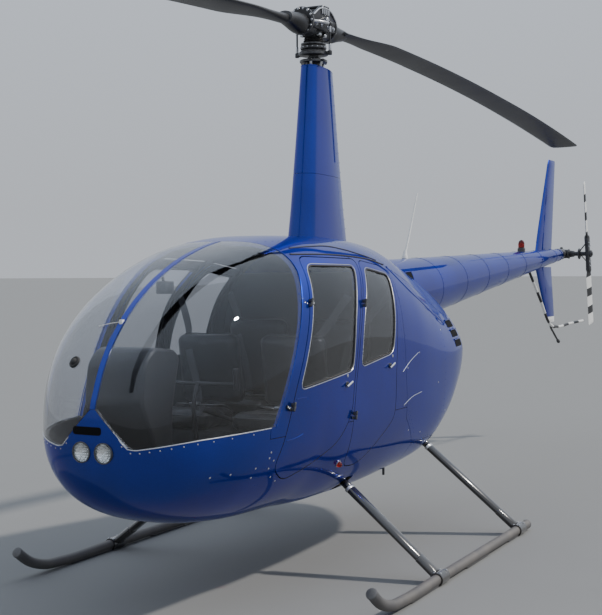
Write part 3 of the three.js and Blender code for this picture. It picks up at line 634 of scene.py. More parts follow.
bump = node(grain, "Bump", Strength=0.6, Distance=given["Depth"], Height=fine).outputs[0]
for socket, source in (("Color", toned), ("Roughness", rough), ("Normal", bump)):
    grain.links.new(source, result[socket])

dust, given, result = node_group("settled_dust", ["Color", "Roughness", "Amount", "Reach", "Tint"],
                                 ["Color", "Roughness"])
coordinates = node(dust, "TexCoord").outputs
height = node(dust, "SeparateXYZ", Vector=coordinates["Object"]).outputs[2]
facing = node(dust, "SeparateXYZ", Vector=coordinates["Normal"]).outputs[2]
low = reckon(dust, "SUBTRACT", 1.0, reckon(dust, "DIVIDE", height, given["Reach"]))
low = reckon(dust, "MULTIPLY", reckon(dust, "MAXIMUM", low, 0.0), 1.4)
patches = node(dust, "TexNoise", Vector=coordinates["Object"], Scale=9.0, Detail=6.0).outputs[0]
lying = reckon(dust, "ADD", reckon(dust, "MULTIPLY", reckon(dust, "MAXIMUM", facing, 0.0), 0.5), low)
share = reckon(dust, "MULTIPLY", reckon(dust, "MULTIPLY", lying, patches), given["Amount"])
share = reckon(dust, "MINIMUM", share, 1.0)
dust.links.new(mix_colour(dust, share, given["Color"], given["Tint"]), result["Color"])
dust.links.new(reckon(dust, "MULTIPLY_ADD", share, 0.5, given["Roughness"]), result["Roughness"])

wear, given, result = node_group("worn_edges", ["Color", "Roughness", "Amount", "Tint"],
                                 ["Color", "Roughness"])
raised = node(wear, "NewGeometry").outputs["Pointiness"]
edge = node(wear, "MapRange", _0=raised, _1=0.52, _2=0.6).outputs[0]
place = node(wear, "TexCoord").outputs["Object"]
chips = node(wear, "TexNoise", Vector=place, Scale=60.0, Detail=5.0).outputs[0]
share = reckon(wear, "MULTIPLY", reckon(wear, "MULTIPLY", edge, chips), given["Amount"])
share = reckon(wear, "MINIMUM", share, 1.0)
wear.links.new(mix_colour(wear, share, given["Color"], given["Tint"]), result["Color"])
wear.links.new(reckon(wear, "MULTIPLY_ADD", share, -0.1, given["Roughness"]), result["Roughness"])
print("groups", [group.name for group in bpy.data.node_groups])

# %% [markdown]
# One function makes every opaque finish from those groups. Numbers that are the same all over, such as the
# clear coat or the sheen, go straight to the shader's own sockets.
# %% Opaque finishes
DUST = (0.36, 0.31, 0.25, 1)
BARE_METAL = (0.55, 0.56, 0.58, 1)


def finish(name, colour, roughness, metallic=0.0, tone=0.5, spread=0.25, scale=180.0, depth=0.0003,
           dusty=0.25, reach=0.6, worn=0.0, **sockets):
    """A Principled material through the groups: colour and roughness pass from one to the next."""
    made, tree, shader = new_material(name, Metallic=metallic, **sockets)
    first = use_group(tree, grain, Color=(*colour, 1), Roughness=roughness, Tone=tone, Spread=spread,
                      Scale=scale, Depth=depth)
    worn_out = use_group(tree, wear, Color=first["Color"], Roughness=first["Roughness"], Amount=worn,
                         Tint=BARE_METAL)
    last = use_group(tree, dust, Color=worn_out["Color"], Roughness=worn_out["Roughness"], Amount=dusty,
                     Reach=reach, Tint=DUST)
    for socket, source in (("Base Color", last["Color"]), ("Roughness", last["Roughness"]),
                           ("Normal", first["Normal"])):
        tree.links.new(source, shader.inputs[socket])
    return made


blue_paint = finish("blue_paint", (0.002, 0.024, 0.27), 0.36, 0.85, tone=1.2, spread=0.15, depth=0.00005,
                    dusty=0.03, reach=0.7, Coat_Weight=0.75, Coat_Roughness=0.03,
                    Specular_Tint=(0.18, 0.36, 0.95, 1))
blade_paint = finish("blade_paint", (0.014, 0.0145, 0.016), 0.42, dusty=0.03, worn=0.2)
black_paint = finish("black_paint", (0.008, 0.008, 0.010), 0.35, dusty=0.05, worn=0.3)
gloss_black = finish("gloss_black", (0.008, 0.008, 0.010), 0.2, dusty=0.10, reach=0.45,
                     Coat_Weight=0.8, Coat_Roughness=0.08)
white_paint = finish("white_paint", (0.72, 0.72, 0.70), 0.35, dusty=0.2, worn=0.1)
bare_metal = finish("bare_metal", (0.58, 0.59, 0.61), 0.3, 0.95, spread=0.4, dusty=0.15, worn=0.2)
skid_metal = finish("skid_metal", (0.33, 0.34, 0.36), 0.42, 0.85, spread=0.5, dusty=0.5, reach=0.25)
skid_paint = finish("skid_paint", (0.080, 0.080, 0.084), 0.5, 0.3, tone=1.0, dusty=0.25, reach=0.2, worn=0.2)
# Near-black and hardly reflecting: painted shade, standing in for the insides of slots and louvres.
opening_painted_shade = finish("opening_painted_shade", (0.003, 0.003, 0.004), 0.85, tone=0.1, dusty=0.0,
                       Specular_IOR_Level=0.15)
engine_metal = finish("engine_metal", (0.22, 0.22, 0.23), 0.55, 0.8, scale=90.0, depth=0.001)
rubber = finish("rubber", (0.016, 0.016, 0.017), 0.7, scale=400.0, depth=0.0004, dusty=0.3)
cabin_plastic = finish("cabin_plastic", (0.012, 0.012, 0.014), 0.34, tone=0.1, spread=0.1,
                       scale=700.0, depth=0.00005, dusty=0.05)
cabin_trim = finish("cabin_trim", (0.022, 0.023, 0.027), 0.7, tone=0.2, spread=0.1, scale=500.0,
                    depth=0.0002, dusty=0.1)
carpet = finish("carpet", (0.018, 0.019, 0.022), 0.95, tone=1.2, scale=900.0, depth=0.004, dusty=0.15,
                Sheen_Weight=0.4)
webbing = finish("webbing", (0.07, 0.07, 0.075), 0.85, scale=800.0, depth=0.001, Sheen_Weight=0.3)
print("finishes", len(bpy.data.materials))

# %% [markdown]
# The windows are sheets of acrylic. Their shader is a clear, slightly tinted dielectric, and for shadow
# rays it turns into plain transparency, so that daylight reaches the cabin without caustic noise. The tint
# changes slowly over a sheet, and the roughness is the same all over.
# %% Glass, lenses and lamps
def clear(name, colour, roughness, shade):
    """A clear material: its colour, its roughness, and the tint of the light that it lets through."""
    made, tree, shader = new_material(name, Roughness=roughness, Transmission_Weight=1, IOR=1.40)
    haze = use_group(tree, grain, Color=(*colour, 1), Roughness=roughness, Tone=0.05, Spread=0.0,
                     Scale=35.0, Depth=0.0)
    tree.links.new(haze["Color"], shader.inputs["Base Color"])
    see_through = node(tree, "BsdfTransparent", Color=(*shade, 1)).outputs[0]
    is_shadow = node(tree, "LightPath").outputs["Is Shadow Ray"]
    either = node(tree, "MixShader", _0=is_shadow, _1=shader.outputs[0], _2=see_through).outputs[0]
    tree.links.new(either, tree.nodes["Material Output"].inputs["Surface"])
    return made


screen_glass = clear("screen_glass", (0.80, 0.82, 0.86), 0, (0.45, 0.47, 0.5))
window_glass = clear("window_glass", (0.62, 0.64, 0.68), 0, (0.4, 0.42, 0.45))
lamp_glass = clear("lamp_glass", (0.95, 0.96, 0.96), 0.05, (0.9, 0.9, 0.9))
red_lens = clear("red_lens", (0.75, 0.02, 0.015), 0.08, (0.8, 0.1, 0.08))
beacon_glass = clear("beacon_glass", (0.30, 0.006, 0.005), 0.08, (0.4, 0.03, 0.02))
green_lens = clear("green_lens", (0.02, 0.5, 0.12), 0.08, (0.1, 0.7, 0.2))
mirror_metal = finish("mirror_metal", (0.85, 0.86, 0.86), 0.12, 1.0, spread=0.05, dusty=0.0)
print("glass made")

# %% [markdown]
# The stage is a plain pale floor that runs to the horizon, under a sky of light that is soft low down and
# brighter overhead. One sun lamp shines from the port side aft, where the sun was, and mirrors in the
# windshield. It is six times as wide as the sun, so that its shadows are soft.
# %% Floor and light
TO_SUN = (-0.338, 0.614, 0.713)
sun = bpy.data.lights.new("key", "SUN")
sun.energy, sun.angle, sun.color = 3.4, radians(3), (1.0, 0.95, 0.88)
lamp = in_scene("key", sun)
lamp.matrix_world = Vector(TO_SUN).to_track_quat("Z", "Y").to_matrix().to_4x4()

pale, pale_tree, pale_shader = new_material("floor")
mottle = use_group(pale_tree, grain, Color=(0.20, 0.20, 0.195, 1), Roughness=0.85, Tone=0.08,
                   Spread=0.1, Scale=3.0, Depth=0.0)
for socket, source in (("Base Color", "Color"), ("Roughness", "Roughness")):
    pale_tree.links.new(mottle[source], pale_shader.inputs[socket])
FLOOR_RADIUS = 400.0
floor_rows = [level_ring(FLOOR_RADIUS, 96) * share for share in (1e-7, 0.01, 0.05, 0.2, 1.0)]
floor_quads = loft(floor_rows)[1][0][:, ::-1]
floor = in_scene("floor", mesh_of("floor", (np.concatenate(floor_rows), [floor_quads])))
floor.data.materials.append(pale)

world = bpy.data.worlds.new("studio")
world.use_nodes = True
sky = world.node_tree
height = node(sky, "SeparateXYZ", Vector=node(sky, "TexCoord").outputs["Generated"]).outputs[2]
rise = node(sky, "MapRange", _0=height, _1=0.05, _2=0.85).outputs[0]
sky_colour = mix_colour(sky, rise, (0.92, 0.97, 1.05, 1), (1.45, 1.65, 1.95, 1))
sky.links.new(sky_colour, sky.nodes["Background"].inputs["Color"])
sky.nodes["Background"].inputs["Strength"].default_value = 0.6
bpy.context.scene.world = world
print("stage set")

# %% [markdown]
# The outlines of doors, windows and panels are drawn as seen from the side, in x and z, with the radius of
# each corner. Both sides share them. A door's skin stops 5 mm short of its frame all round.
# %% Outlines
FRONT_DOOR = [
    [1.128, 1.782, 0.07], [0.490, 1.772, 0.06], [0.672, 1.545, 0.3], [0.760, 1.370, 0.3],
    [0.840, 1.077, 0.3], [0.858, 0.940, 0.09], [0.985, 0.795, 0.09], [1.240, 0.705, 0.2],
    [1.478, 0.652, 0.09], [1.618, 0.735, 0.06], [1.518, 1.045, 0.3], [1.250, 1.556, 0.4],
]
FRONT_WINDOW = [
    [1.120, 1.738, 0.07], [0.585, 1.732, 0.05], [0.705, 1.590, 0.2], [0.790, 1.427, 0.2],
    [0.852, 1.172, 0.05], [1.436, 1.115, 0.05],
]
REAR_DOOR = [
    [0.455, 1.768, 0.06], [0.060, 1.722, 0.07], [0.196, 1.376, 0.5], [0.232, 1.100, 0.3],
    [0.232, 0.850, 0.06], [0.625, 0.622, 0.09], [0.826, 0.640, 0.06], [0.826, 0.940, 0.2],
    [0.808, 1.077, 0.3], [0.728, 1.370, 0.3], [0.640, 1.545, 0.3],
]
REAR_WINDOW = [
    [0.430, 1.722, 0.05], [0.105, 1.682, 0.05], [0.170, 1.554, 0.2], [0.278, 1.234, 0.06],
    [0.728, 1.184, 0.05], [0.665, 1.430, 0.2], [0.505, 1.645, 0.2],
]
DOORS = {"front": (FRONT_DOOR, FRONT_WINDOW), "rear": (REAR_DOOR, REAR_WINDOW)}
DOOR_GAP = 0.005
OUT = 4.0
NOSE_SEAM, SILL_Z, CHINE_Z, TAIL_SEAM = 1.700, 0.890, 0.640, -1.500
COWL_SEAM = [
    [-0.217, CHINE_Z, 0], [0.029, 0.824, 0], [0.039, SILL_Z, 0], [0.072, 1.100, 0],
    [0.090, 1.372, 0], [0.072, 1.580, 0], [0.023, 1.735, 0],
]
SHOULDER_AFT = [TAIL_SEAM, 1.275, 0]
PANELS = {
    "upper_frame": [COWL_SEAM[2], [NOSE_SEAM, SILL_Z, 0], [NOSE_SEAM, OUT, 0], [0.023, OUT, 0]]
    + COWL_SEAM[:2:-1],
    "lower_fuselage": [COWL_SEAM[2], COWL_SEAM[1], COWL_SEAM[0], [-0.217, -OUT, 0], [OUT, -OUT, 0],
                       [OUT, OUT, 0], [NOSE_SEAM, OUT, 0], [NOSE_SEAM, SILL_Z, 0]],
    "aft_roof_cowl": [SHOULDER_AFT, COWL_SEAM[-1], [0.023, OUT, 0], [TAIL_SEAM, OUT, 0]],
    "side_cowl": [[TAIL_SEAM, CHINE_Z, 0]] + COWL_SEAM + [SHOULDER_AFT],
    "belly_aft_panel": [[TAIL_SEAM, -OUT, 0], [-0.217, -OUT, 0], COWL_SEAM[0], [TAIL_SEAM, CHINE_Z, 0]],
    "tail_end_cowl": rectangle(-OUT, -OUT, TAIL_SEAM, OUT),
}
SCREEN_BELOW = [
    [0.0155, 1.072, 0], [0.190, 0.893, 0.03], [0.300, 0.908, 0], [0.447, 0.933, 0], [0.591, 0.949, 0],
    [0.800, 0.955, 0], [0.800, 2.1, 0], [0.0155, 2.1, 0],
]
SCREEN_BEHIND = [
    [1.660, 0.930, 0], [2.5, 0.85, 0], [2.5, 2.1, 0], [1.190, 2.1, 0], [1.190, 1.830, 0.06],
    [1.215, 1.740, 0.06], [1.300, 1.600, 0.06],
]
print(len(PANELS), "panels and", len(DOORS), "doors a side")

# %% [markdown]
# Each panel is the thick shell inside its own outline. Neighbours stand 3 mm apart, so that every seam is a
# dark line with depth; on a lined panel the seam's walls are dark lining, painted shade. The doorways, the
# windshield, the legs, the tail cone and the fan make holes.
# %% Shell panels
SEAM = 0.003
LEG_HOLES = {"front": (0.574, 0.512), "rear": (-0.670, 0.600)}
CONE_FRONT, CONE_BACK = -1.100, -5.715


def cone_z(x):
    """Height of the tail cone's axis."""
    return 1.620 + (-2.3 - np.asarray(x)) * 0.0713


def cone_r(x):
    """The tail cone's radius."""
    return 0.199 - (-2.3 - np.asarray(x)) * 0.041


def cone_solid(start, end, lift):
    return lathe([[0, cone_r(start) + lift], [start - end, cone_r(end) + lift]],
                 [start, 0, cone_z(start)], [end - start, 0, cone_z(end) - cone_z(start)], 96)


def screen_cutter(side, extra):
    """What cuts one half of the windshield out of the shell, grown all round."""
    below = front_prism(grown(SCREEN_BELOW, extra), -OUT, OUT)
    behind = side_prism(grown(SCREEN_BEHIND, extra))
    return on_side(carve(below, behind), side)


def door_cutters(extra):
    return joined([on_side(port_prism(grown(edge, extra)), side)
                   for edge, _ in DOORS.values() for side in SIDES.values()])


def screen_cutters(extra):
    return joined([screen_cutter(side, extra) for side in SIDES.values()])


doorways, screen_gap = door_cutters(DOOR_GAP), screen_cutters(0.001)
strip_gap = block((1.190, -0.0165, 1.0715), (2.5, 0.0165, 2.1), 0.001, 0.001)
leg_holes = joined([side_prism(rectangle(x - 0.052, z - 0.09, x + 0.052, z + 0.035, 0.03),
                               *sorted((0.36 * side, 0.7 * side)))
                    for x, z in LEG_HOLES.values() for side in SIDES.values()])
FAN_X, FAN_Z, FAN_RADIUS = -1.640, 1.035, 0.222
fan_hole = lathe([[0, FAN_RADIUS + 0.012], [0.3, FAN_RADIUS + 0.012]], [FAN_X - 0.15, 0, FAN_Z], AHEAD, 96)
cone_hole = cone_solid(CONE_FRONT + 0.3, CONE_BACK, 0.0015)

LAMP_X, LAMP_Y, LAMP_Z = 2.3405, 0.061, 0.874
lamp_bores = joined([lathe([[0, 0.0475], [0.1, 0.0475]], [2.30, y, LAMP_Z], AHEAD, 48)
                     for y in (-LAMP_Y, LAMP_Y)])
holes = {
    "upper_frame": [doorways, screen_gap, strip_gap],
    "lower_fuselage": [doorways, screen_gap, strip_gap, leg_holes, lamp_bores],
    "aft_roof_cowl": [cone_hole],
    "side_cowl": [leg_holes, cone_hole],
    "belly_aft_panel": [leg_holes],
    "tail_end_cowl": [fan_hole, cone_hole],
}
# Lined panels have dark trim inside, and dark seam and hole walls that are painted shade.
LINED = {"upper_frame": cabin_trim, "lower_fuselage": cabin_trim}
for name, corners in PANELS.items():
    cutter = side_prism(grown(corners, -SEAM / 2))
    panel = carve(outer, cutter, [inner, *holes[name]])
    if name != "side_cowl":
        put(name + "_skin", panel, blue_paint, stands_for=name, sharp=30, lining=LINED.get(name))
        continue
    for word, side in SIDES.items():
        half = block((-2, 0.001, -1), (1, 2, 3), 0, 0.001)
        put(f"{name}_{word}_skin", on_side(carve(panel, half), side), blue_paint,
            stands_for=f"{name}_{word}", sharp=30)

# %% [markdown]
# A door is the same shell inside the door's outline, less its window. Behind an 8 mm flange its inner pan
# is set in all round, as a real door's is, so that it swings clear of the frame.
# %% Doors and windows
FLANGE, PAN_STEP = 0.008, 0.008
GLASS, RECESS = 0.006, 0.004
behind_flange = shell_solid(FLANGE)
pane_outer, pane_inner = shell_solid(RECESS), shell_solid(RECESS + GLASS)
trim_outer, trim_inner = shell_solid(WALL + 0.0005), shell_solid(WALL + 0.004)
SEAL_SECTION = np.array([[-0.005, -0.006], [-0.005, -0.001], [-0.003, 0.0012], [0.0, 0.0018],
                         [0.003, 0.0012], [0.005, -0.001], [0.005, -0.006]])
for place, (door, window) in DOORS.items():
    leaf = port_prism(door)
    hole = port_prism(window)
    rim_cutter = carve(behind_flange, less=[port_prism(grown(door, -PAN_STEP))])
    skin = carve(outer, leaf, [inner, rim_cutter, hole])
    pane = carve(pane_outer, port_prism(grown(window, -0.0005)), [pane_inner])
    trim = carve(trim_outer, port_prism(grown(door, -0.02)), [trim_inner, port_prism(grown(window, 0.012))])
    seal = rim(rounded(window, 10), SEAL_SECTION)
    inner_seal = rim(rounded(window, 10), SEAL_SECTION * [1, -1], -WALL)
    for word, side in SIDES.items():
        body = f"door_{place}_{word}_leaf"
        # The door's lining also darkens its edges and window reveal: painted shade in the gaps.
        put(f"door_{place}_{word}_skin", on_side(skin, side), blue_paint, body,
            f"door_{place}_{word}", sharp=30, lining=cabin_trim)
        put(f"window_{place}_{word}", on_side(pane, side), window_glass, body,
            f"door_glass_{place}_{word}", sharp=60)
        put(f"door_trim_{place}_{word}", on_side(trim, side), cabin_trim, body)
        put(f"window_seal_{place}_{word}", all_on_side([seal, inner_seal], side), rubber, body)

# %% [markdown]
# The windshield is two curved sheets with a narrow painted strip between them, cut from the same shell.
# %% Windshield
glass_inner = shell_solid(GLASS)
for word, side in SIDES.items():
    sheet = carve(outer, screen_cutter(side, -0.0005), [glass_inner])
    put(f"windshield_sheet_{word}", sheet, screen_glass, stands_for=f"windshield_{word}", sharp=60)
strip_cutter = block((1.190, -0.0145, 1.0735), (2.5, 0.0145, 2.1), 0.001, 0.001)
strip = carve(shell_solid(-0.002), strip_cutter, [shell_solid(0.012)])
put("windshield_strip_skin", strip, blue_paint, stands_for="windshield_strip")

# %% [markdown]
# Small fasteners are everywhere on such a machine: rivets in rows, screws round panels, bolts in the hub.
# Rivets and screws are low domes, worked out for a whole row at once and kept to a few faces each.
# %% Fasteners
def domes(places, normals, radius, height, sides=8):
    """Low domes on places: a rim on the surface, a ring at 0.6 of the radius and 0.85 of the height, and
    a top point. The rim goes a little under the surface, and a point below closes it."""
    places = np.atleast_2d(places)
    normals = unit(np.broadcast_to(np.asarray(normals, float), places.shape))
    across = unit(np.cross(normals, np.where(np.abs(normals[:, 2:]) < 0.9, UP, AHEAD)))
    over = np.cross(normals, across)
    levels = [(0.0, -0.3), (1.0, -0.3), (1.0, 0.25), (0.6, 0.85), (0.0, 1.0)]
    rows = [carried(places + normals * (up * height), ring(out * radius, sides)[None], across, over)
            for out, up in levels]
    points = np.stack(rows, 1)
    count, level = points.shape[:2]
    first = (np.arange(count) * level * sides)[:, None, None] + (np.arange(level - 1) * sides)[None, :, None]
    here = np.arange(sides)[None, None]
    there = (here + 1) % sides
    quads = np.stack([first + here, first + there, first + sides + there, first + sides + here], -1)
    return points.reshape(-1, 3), [quads.reshape(-1, 4)]


def bolts(places, normals, radius, height):
    """Hexagon heads on round washers, with one normal each or one for all."""
    places = np.atleast_2d(places)
    shapes = []
    for place, normal in zip(places, np.broadcast_to(normals, places.shape)):
        washer = [[0, radius * 1.25], [height * 0.15, radius * 1.35], [height * 0.25, radius * 1.3]]
        shapes.append(lathe(washer, place, normal, 16))
        head = [[height * 0.2, radius], [height * 0.85, radius], [height, radius * 0.85]]
        shapes.append(lathe(head, place, normal, 6))
    return joined(shapes)


print("fasteners ready")

# %% [markdown]
# A tall faired column carries the rotor mast. Its sections have a half-round nose and flanks that close in
# behind it. It is cut where it meets the cabin roof, and a thin foot laps on to the roof round it.
# %% Mast fairing
# Columns: z, x of the nose's centre, its radius, x of the trailing edge
FAIRING = np.array([
    [1.840, 0.172, 0.092, -0.490], [2.080, 0.142, 0.082, -0.432],
    [2.500, 0.100, 0.068, -0.352], [2.968, 0.054, 0.054, -0.272],
])
FAIRING_TOP = 2.968


def fairing(heights, lift=0.0):
    """Rows round the column. Half width on a flank is r (1 - 0.95 s^2.4), s the share of the way aft."""
    nose_x, radius, tail_x = columns(FAIRING, heights)
    radius, tail_x = (radius + lift)[:, None], (tail_x - lift)[:, None]
    nose_x, heights = nose_x[:, None], np.asarray(heights)[:, None]
    turn = np.linspace(-pi / 2, pi / 2, 25)
    share = np.linspace(0, 1, 18)[1:]
    flank_x = nose_x + (tail_x - nose_x) * share
    flank_y = radius * (1 - 0.95 * share**2.4)
    x = np.concatenate([nose_x + radius * np.cos(turn), flank_x, flank_x[:, ::-1]], 1)
    y = np.concatenate([radius * np.sin(turn), flank_y, -flank_y[:, ::-1]], 1)
    return loft(np.stack([x, y, np.broadcast_to(heights, x.shape)], -1))


LOW_SEAM = 2.300
under = carve(fairing(np.linspace(1.84, LOW_SEAM - 0.001, 12)), less=[outer])
over = fairing(np.linspace(LOW_SEAM + 0.001, FAIRING_TOP - 0.001, 14))
cap = fairing(np.array([FAIRING_TOP - 0.006, FAIRING_TOP]), 0.0015)
foot = carve(shell_solid(-0.003), fairing(np.array([1.84, 1.95]), 0.028), [shell_solid(0.001)])
put("mast_fairing_skin", [under, over, cap], blue_paint, stands_for="mast_fairing", sharp=40)
put("mast_fairing_foot", foot, blue_paint)
flank_z = np.arange(1.98, 2.93, 0.06)
_, flank_y, tail_x = columns(FAIRING, flank_z)
rivet_places = np.stack([tail_x + 0.045, flank_y * 0.345, flank_z], -1)
fairing_rivets = domes(rivet_places, [-0.25, 0.97, 0], 0.004, 0.0015)
put("mast_fairing_rivets", both(fairing_rivets), blue_paint)

# %% [markdown]
# Under the rotor, the controls' fixed ring rides on the mast. The parts that turn with the shaft begin
# above it: the turning ring and its drum, a rubber boot, the shaft and the hub.
# %% Mast head
TEETER = 3.235
HEAD_TOP = 3.335
FIXED_RING = FAIRING_TOP + 0.022
mast_parts = [
    lathe([[0, 0.04], [0.04, 0.04], [0.048, 0.036], [0.059, 0.036]], [0, 0, FAIRING_TOP], UP, 40),
    lathe([[0, 0.05], [0, 0.078], [0.004, 0.086], [0.016, 0.086], [0.020, 0.080], [0.020, 0.05]],
          [0, 0, FIXED_RING], UP, 48),
]
mast_fittings = []
for angle in (0.25, 1.1, 2.7, 4.4):
    out = np.array([cos(angle), sin(angle), 0])
    low, high = out * 0.07 + [0, 0, FAIRING_TOP - 0.004], out * 0.082 + [0, 0, FIXED_RING + 0.004]
    mast_fittings.append(rounded_rod(low, high, 0.008))
    mast_parts.append(rounded_rod(high + [0, 0, 0.006], high + [0, 0, 0.006] + out * 0.02, 0.009))
put("mast_control_ring", mast_parts, black_paint, stands_for="mast_tube")
mast_fittings.append(domes(level_ring(0.07, 12, FIXED_RING + 0.02), UP, 0.005, 0.004))
put("mast_fittings", mast_fittings, bare_metal)

# %% [markdown]
# The hub is a teetering head: a machined block whose two side plates carry the teeter bolt, a round bolted
# flange at each end, and a fat grip that holds each blade's root. A horn reaches from each grip round to
# the teeter axis, where a pitch link hangs. It is drawn with the blades along x, then turned to the angle
# at which the rotor stands.
# %% Rotor head
ROTOR = Matrix.Rotation(radians(177.7), 4, "Z")
HUB_PLATE = [[-0.140, -0.050, 0.03], [0.140, -0.050, 0.03], [0.150, 0.030, 0.02], [0.072, 0.080, 0.03],
             [0.050, 0.098, 0.01], [-0.050, 0.098, 0.01], [-0.072, 0.080, 0.03], [-0.150, 0.030, 0.02]]
PLATE_Y = 0.072
TURNING_RING = 3.047
hub = [
    lathe([[0, 0.030], [0.02, 0.030]], [0, 0, 3.0283], UP, 40),
    lathe([[0, 0.04], [0, 0.086], [0.004, 0.092], [0.018, 0.092], [0.022, 0.086], [0.022, 0.04]],
          [0, 0, TURNING_RING - 0.011], UP, 48),
    lathe([[0, 0.078], [0.008, 0.080], [0.012, 0.074], [0.018, 0.080], [0.034, 0.080], [0.038, 0.06]],
          [0, 0, TURNING_RING + 0.011], UP, 48),
    lathe([[0, 0.05], [0.001, 0.078], [0.010, 0.078], [0.012, 0.05]], [0, 0, TURNING_RING + 0.054], UP, 48),
    lathe([[0, 0.05], [0.03, 0.056], [0.05, 0.05]], [0, 0, TEETER - 0.085], UP, 32),
    block((-0.066, -0.064, TEETER - 0.05), (0.066, 0.064, TEETER + 0.075), 0.006, 0.02),
    block((-0.046, -0.090, TEETER + 0.086), (0.046, 0.090, HEAD_TOP - 0.002), 0.003, 0.01),
]
boot_steps = np.arange(9)
boot_radius = 0.066 - 0.009 * (boot_steps % 2) - 0.0012 * boot_steps
boot_folds = np.stack([0.004 + 0.0055 * boot_steps, boot_radius], -1)
boot = lathe([[0, 0.05], *boot_folds, [0.052, 0.04]], [0, 0, TURNING_RING + 0.062], UP, 48)
metal_and_highlight_parts = [rounded_rod([0, -0.104, TEETER + 0.012], [0, 0.104, TEETER + 0.012], 0.018)]
for side in (1, -1):
    hub.append(plate(rounded(HUB_PLATE, 6), [0, side * PLATE_Y + 0.008, TEETER], AHEAD, UP, 0.016, 0.003))
    # The rail is a bright bare-metal tube along the plate's top edge: a painted highlight.
    highlight_rail = [[-0.148, side * 0.082, TEETER + 0.026], [-0.070, side * 0.086, TEETER + 0.074],
            [0, side * 0.088, TEETER + 0.082], [0.070, side * 0.086, TEETER + 0.074],
            [0.148, side * 0.082, TEETER + 0.026]]
    metal_and_highlight_parts.append(tube(curve(highlight_rail, 24), 0.0045, 10))
    for x in (-0.040, -0.013, 0.013, 0.040):
        metal_and_highlight_parts.append(rounded_rod([x, side * 0.084, TEETER + 0.045], [x, side * 0.084, HEAD_TOP - 0.006],
                                       0.0065, 0.002, 12))
    heads = [[x, side * (PLATE_Y + 0.008), TEETER - 0.025] for x in (-0.11, -0.04, 0.04, 0.11)]
    metal_and_highlight_parts.append(bolts(heads, side * PORT, 0.009, 0.009))
    for x in (-0.035, 0.035):
        metal_and_highlight_parts.append(block((x - 0.014, side * 0.058 - 0.012, TEETER - 0.085),
                                 (x + 0.014, side * 0.058 + 0.012, TEETER - 0.068), 0.004, 0.006))
GRIP_Z, FLANGE_Z = TEETER - 0.030, TEETER - 0.008
HUB_FLANGE = [[0, 0.070], [0.001, 0.082], [0.004, 0.086], [0.016, 0.086], [0.019, 0.082], [0.020, 0.07]]
# Columns: x, radius across, radius upright, height over the grip's axis
GRIP = np.array([[0.060, 0.060, 0.060, 0.002], [0.140, 0.062, 0.062, 0.002], [0.205, 0.066, 0.064, 0.0],
                 [0.240, 0.064, 0.058, 0.001], [0.290, 0.060, 0.048, 0.005], [0.340, 0.058, 0.040, 0.009],
                 [0.370, 0.056, 0.036, 0.010]])
for end in (1, -1):
    hub.append(loft([np.column_stack([np.full(32, end * x), ring(1, 32) * [wide, tall] + [0, GRIP_Z + rise]])
                     for x, wide, tall, rise in GRIP]))
    hub.append(lathe(HUB_FLANGE, [end * 0.143, 0, FLANGE_Z], end * AHEAD, 48))
    rim_bolts = np.column_stack([np.full(14, end * 0.163), ring(0.076, 14) + [0, FLANGE_Z]])
    metal_and_highlight_parts.append(bolts(rim_bolts, end * AHEAD, 0.006, 0.007))
    link = np.array([0, end * 0.115, 0])
    hub.append(tube(curve([[0, end * 0.06, TURNING_RING], link + [0, 0, TURNING_RING]], 6), 0.012, 12, AHEAD))
    horn = [[end * 0.150, end * 0.062, TEETER - 0.012], [end * 0.090, end * 0.102, TEETER - 0.012],
            [end * 0.030, end * 0.114, TEETER - 0.012], [0, end * 0.115, TEETER - 0.012]]
    metal_and_highlight_parts.append(tube(curve(horn, 14), 0.010, 14))
    horn_end = link + [0, 0, TEETER - 0.012]
    hub.append(rounded_rod(horn_end + [end * 0.018, 0, 0], horn_end - [end * 0.018, 0, 0], 0.015))
    for parts, low, high, radius in (
            (hub, TURNING_RING + 0.012, TEETER - 0.022, 0.0055),
            (metal_and_highlight_parts, TURNING_RING + 0.010, TURNING_RING + 0.052, 0.0085),
            (metal_and_highlight_parts, TEETER - 0.062, TEETER - 0.026, 0.0085),
            (hub, TURNING_RING - 0.014, TURNING_RING + 0.014, 0.013)):
        parts.append(rounded_rod(link + [0, 0, low], link + [0, 0, high], radius))
drum_bolts = level_ring(0.079, 16, TURNING_RING + 0.038)
metal_and_highlight_parts.append(domes(drum_bolts, drum_bolts * [1, 1, 0], 0.0055, 0.005))
put("rotor_hub", turned(joined(hub), ROTOR), black_paint, "main_rotor", "rotor_head")
put("rotor_boot", turned(boot, ROTOR), rubber, "main_rotor")
# Bolts, rods, horns and links here are bare metal; the rails along the plates' top edges are painted
# highlight.
put("rotor_fittings_and_highlights", turned(joined(metal_and_highlight_parts), ROTOR), bare_metal, "main_rotor")

# %% [markdown]
# Each blade is an airfoil that grows out of a stubby root, twists along its length and droops under its own
# weight. A steel strip guards the leading edge, and the tip is drawn in and thinned.
# %% Main blades
ROTOR_RADIUS = 5.030
# Columns: share of the radius, chord, thickness, pitch in degrees
BLADE = np.array([
    [0.062, 0.120, 0.062, 2], [0.100, 0.150, 0.044, 2], [0.170, 0.256, 0.033, 2],
    [0.350, 0.256, 0.031, 1.5], [0.550, 0.256, 0.031, 1], [0.750, 0.268, 0.030, 0.5],
    [0.900, 0.268, 0.030, 0], [0.992, 0.268, 0.026, 0], [1.000, 0.236, 0.010, 0],
])


def foil(share):
    """Half thickness of an airfoil, as a share of the whole, at a share of the chord behind its nose:
    5 (0.297 sqrt c - 0.126 c - 0.352 c^2 + 0.284 c^3 - 0.1015 c^4) for a section of thickness 1."""
    c = np.asarray(share)
    return 5 * (0.2969 * np.sqrt(c) - 0.126 * c - 0.3516 * c**2 + 0.2843 * c**3 - 0.1015 * c**4)


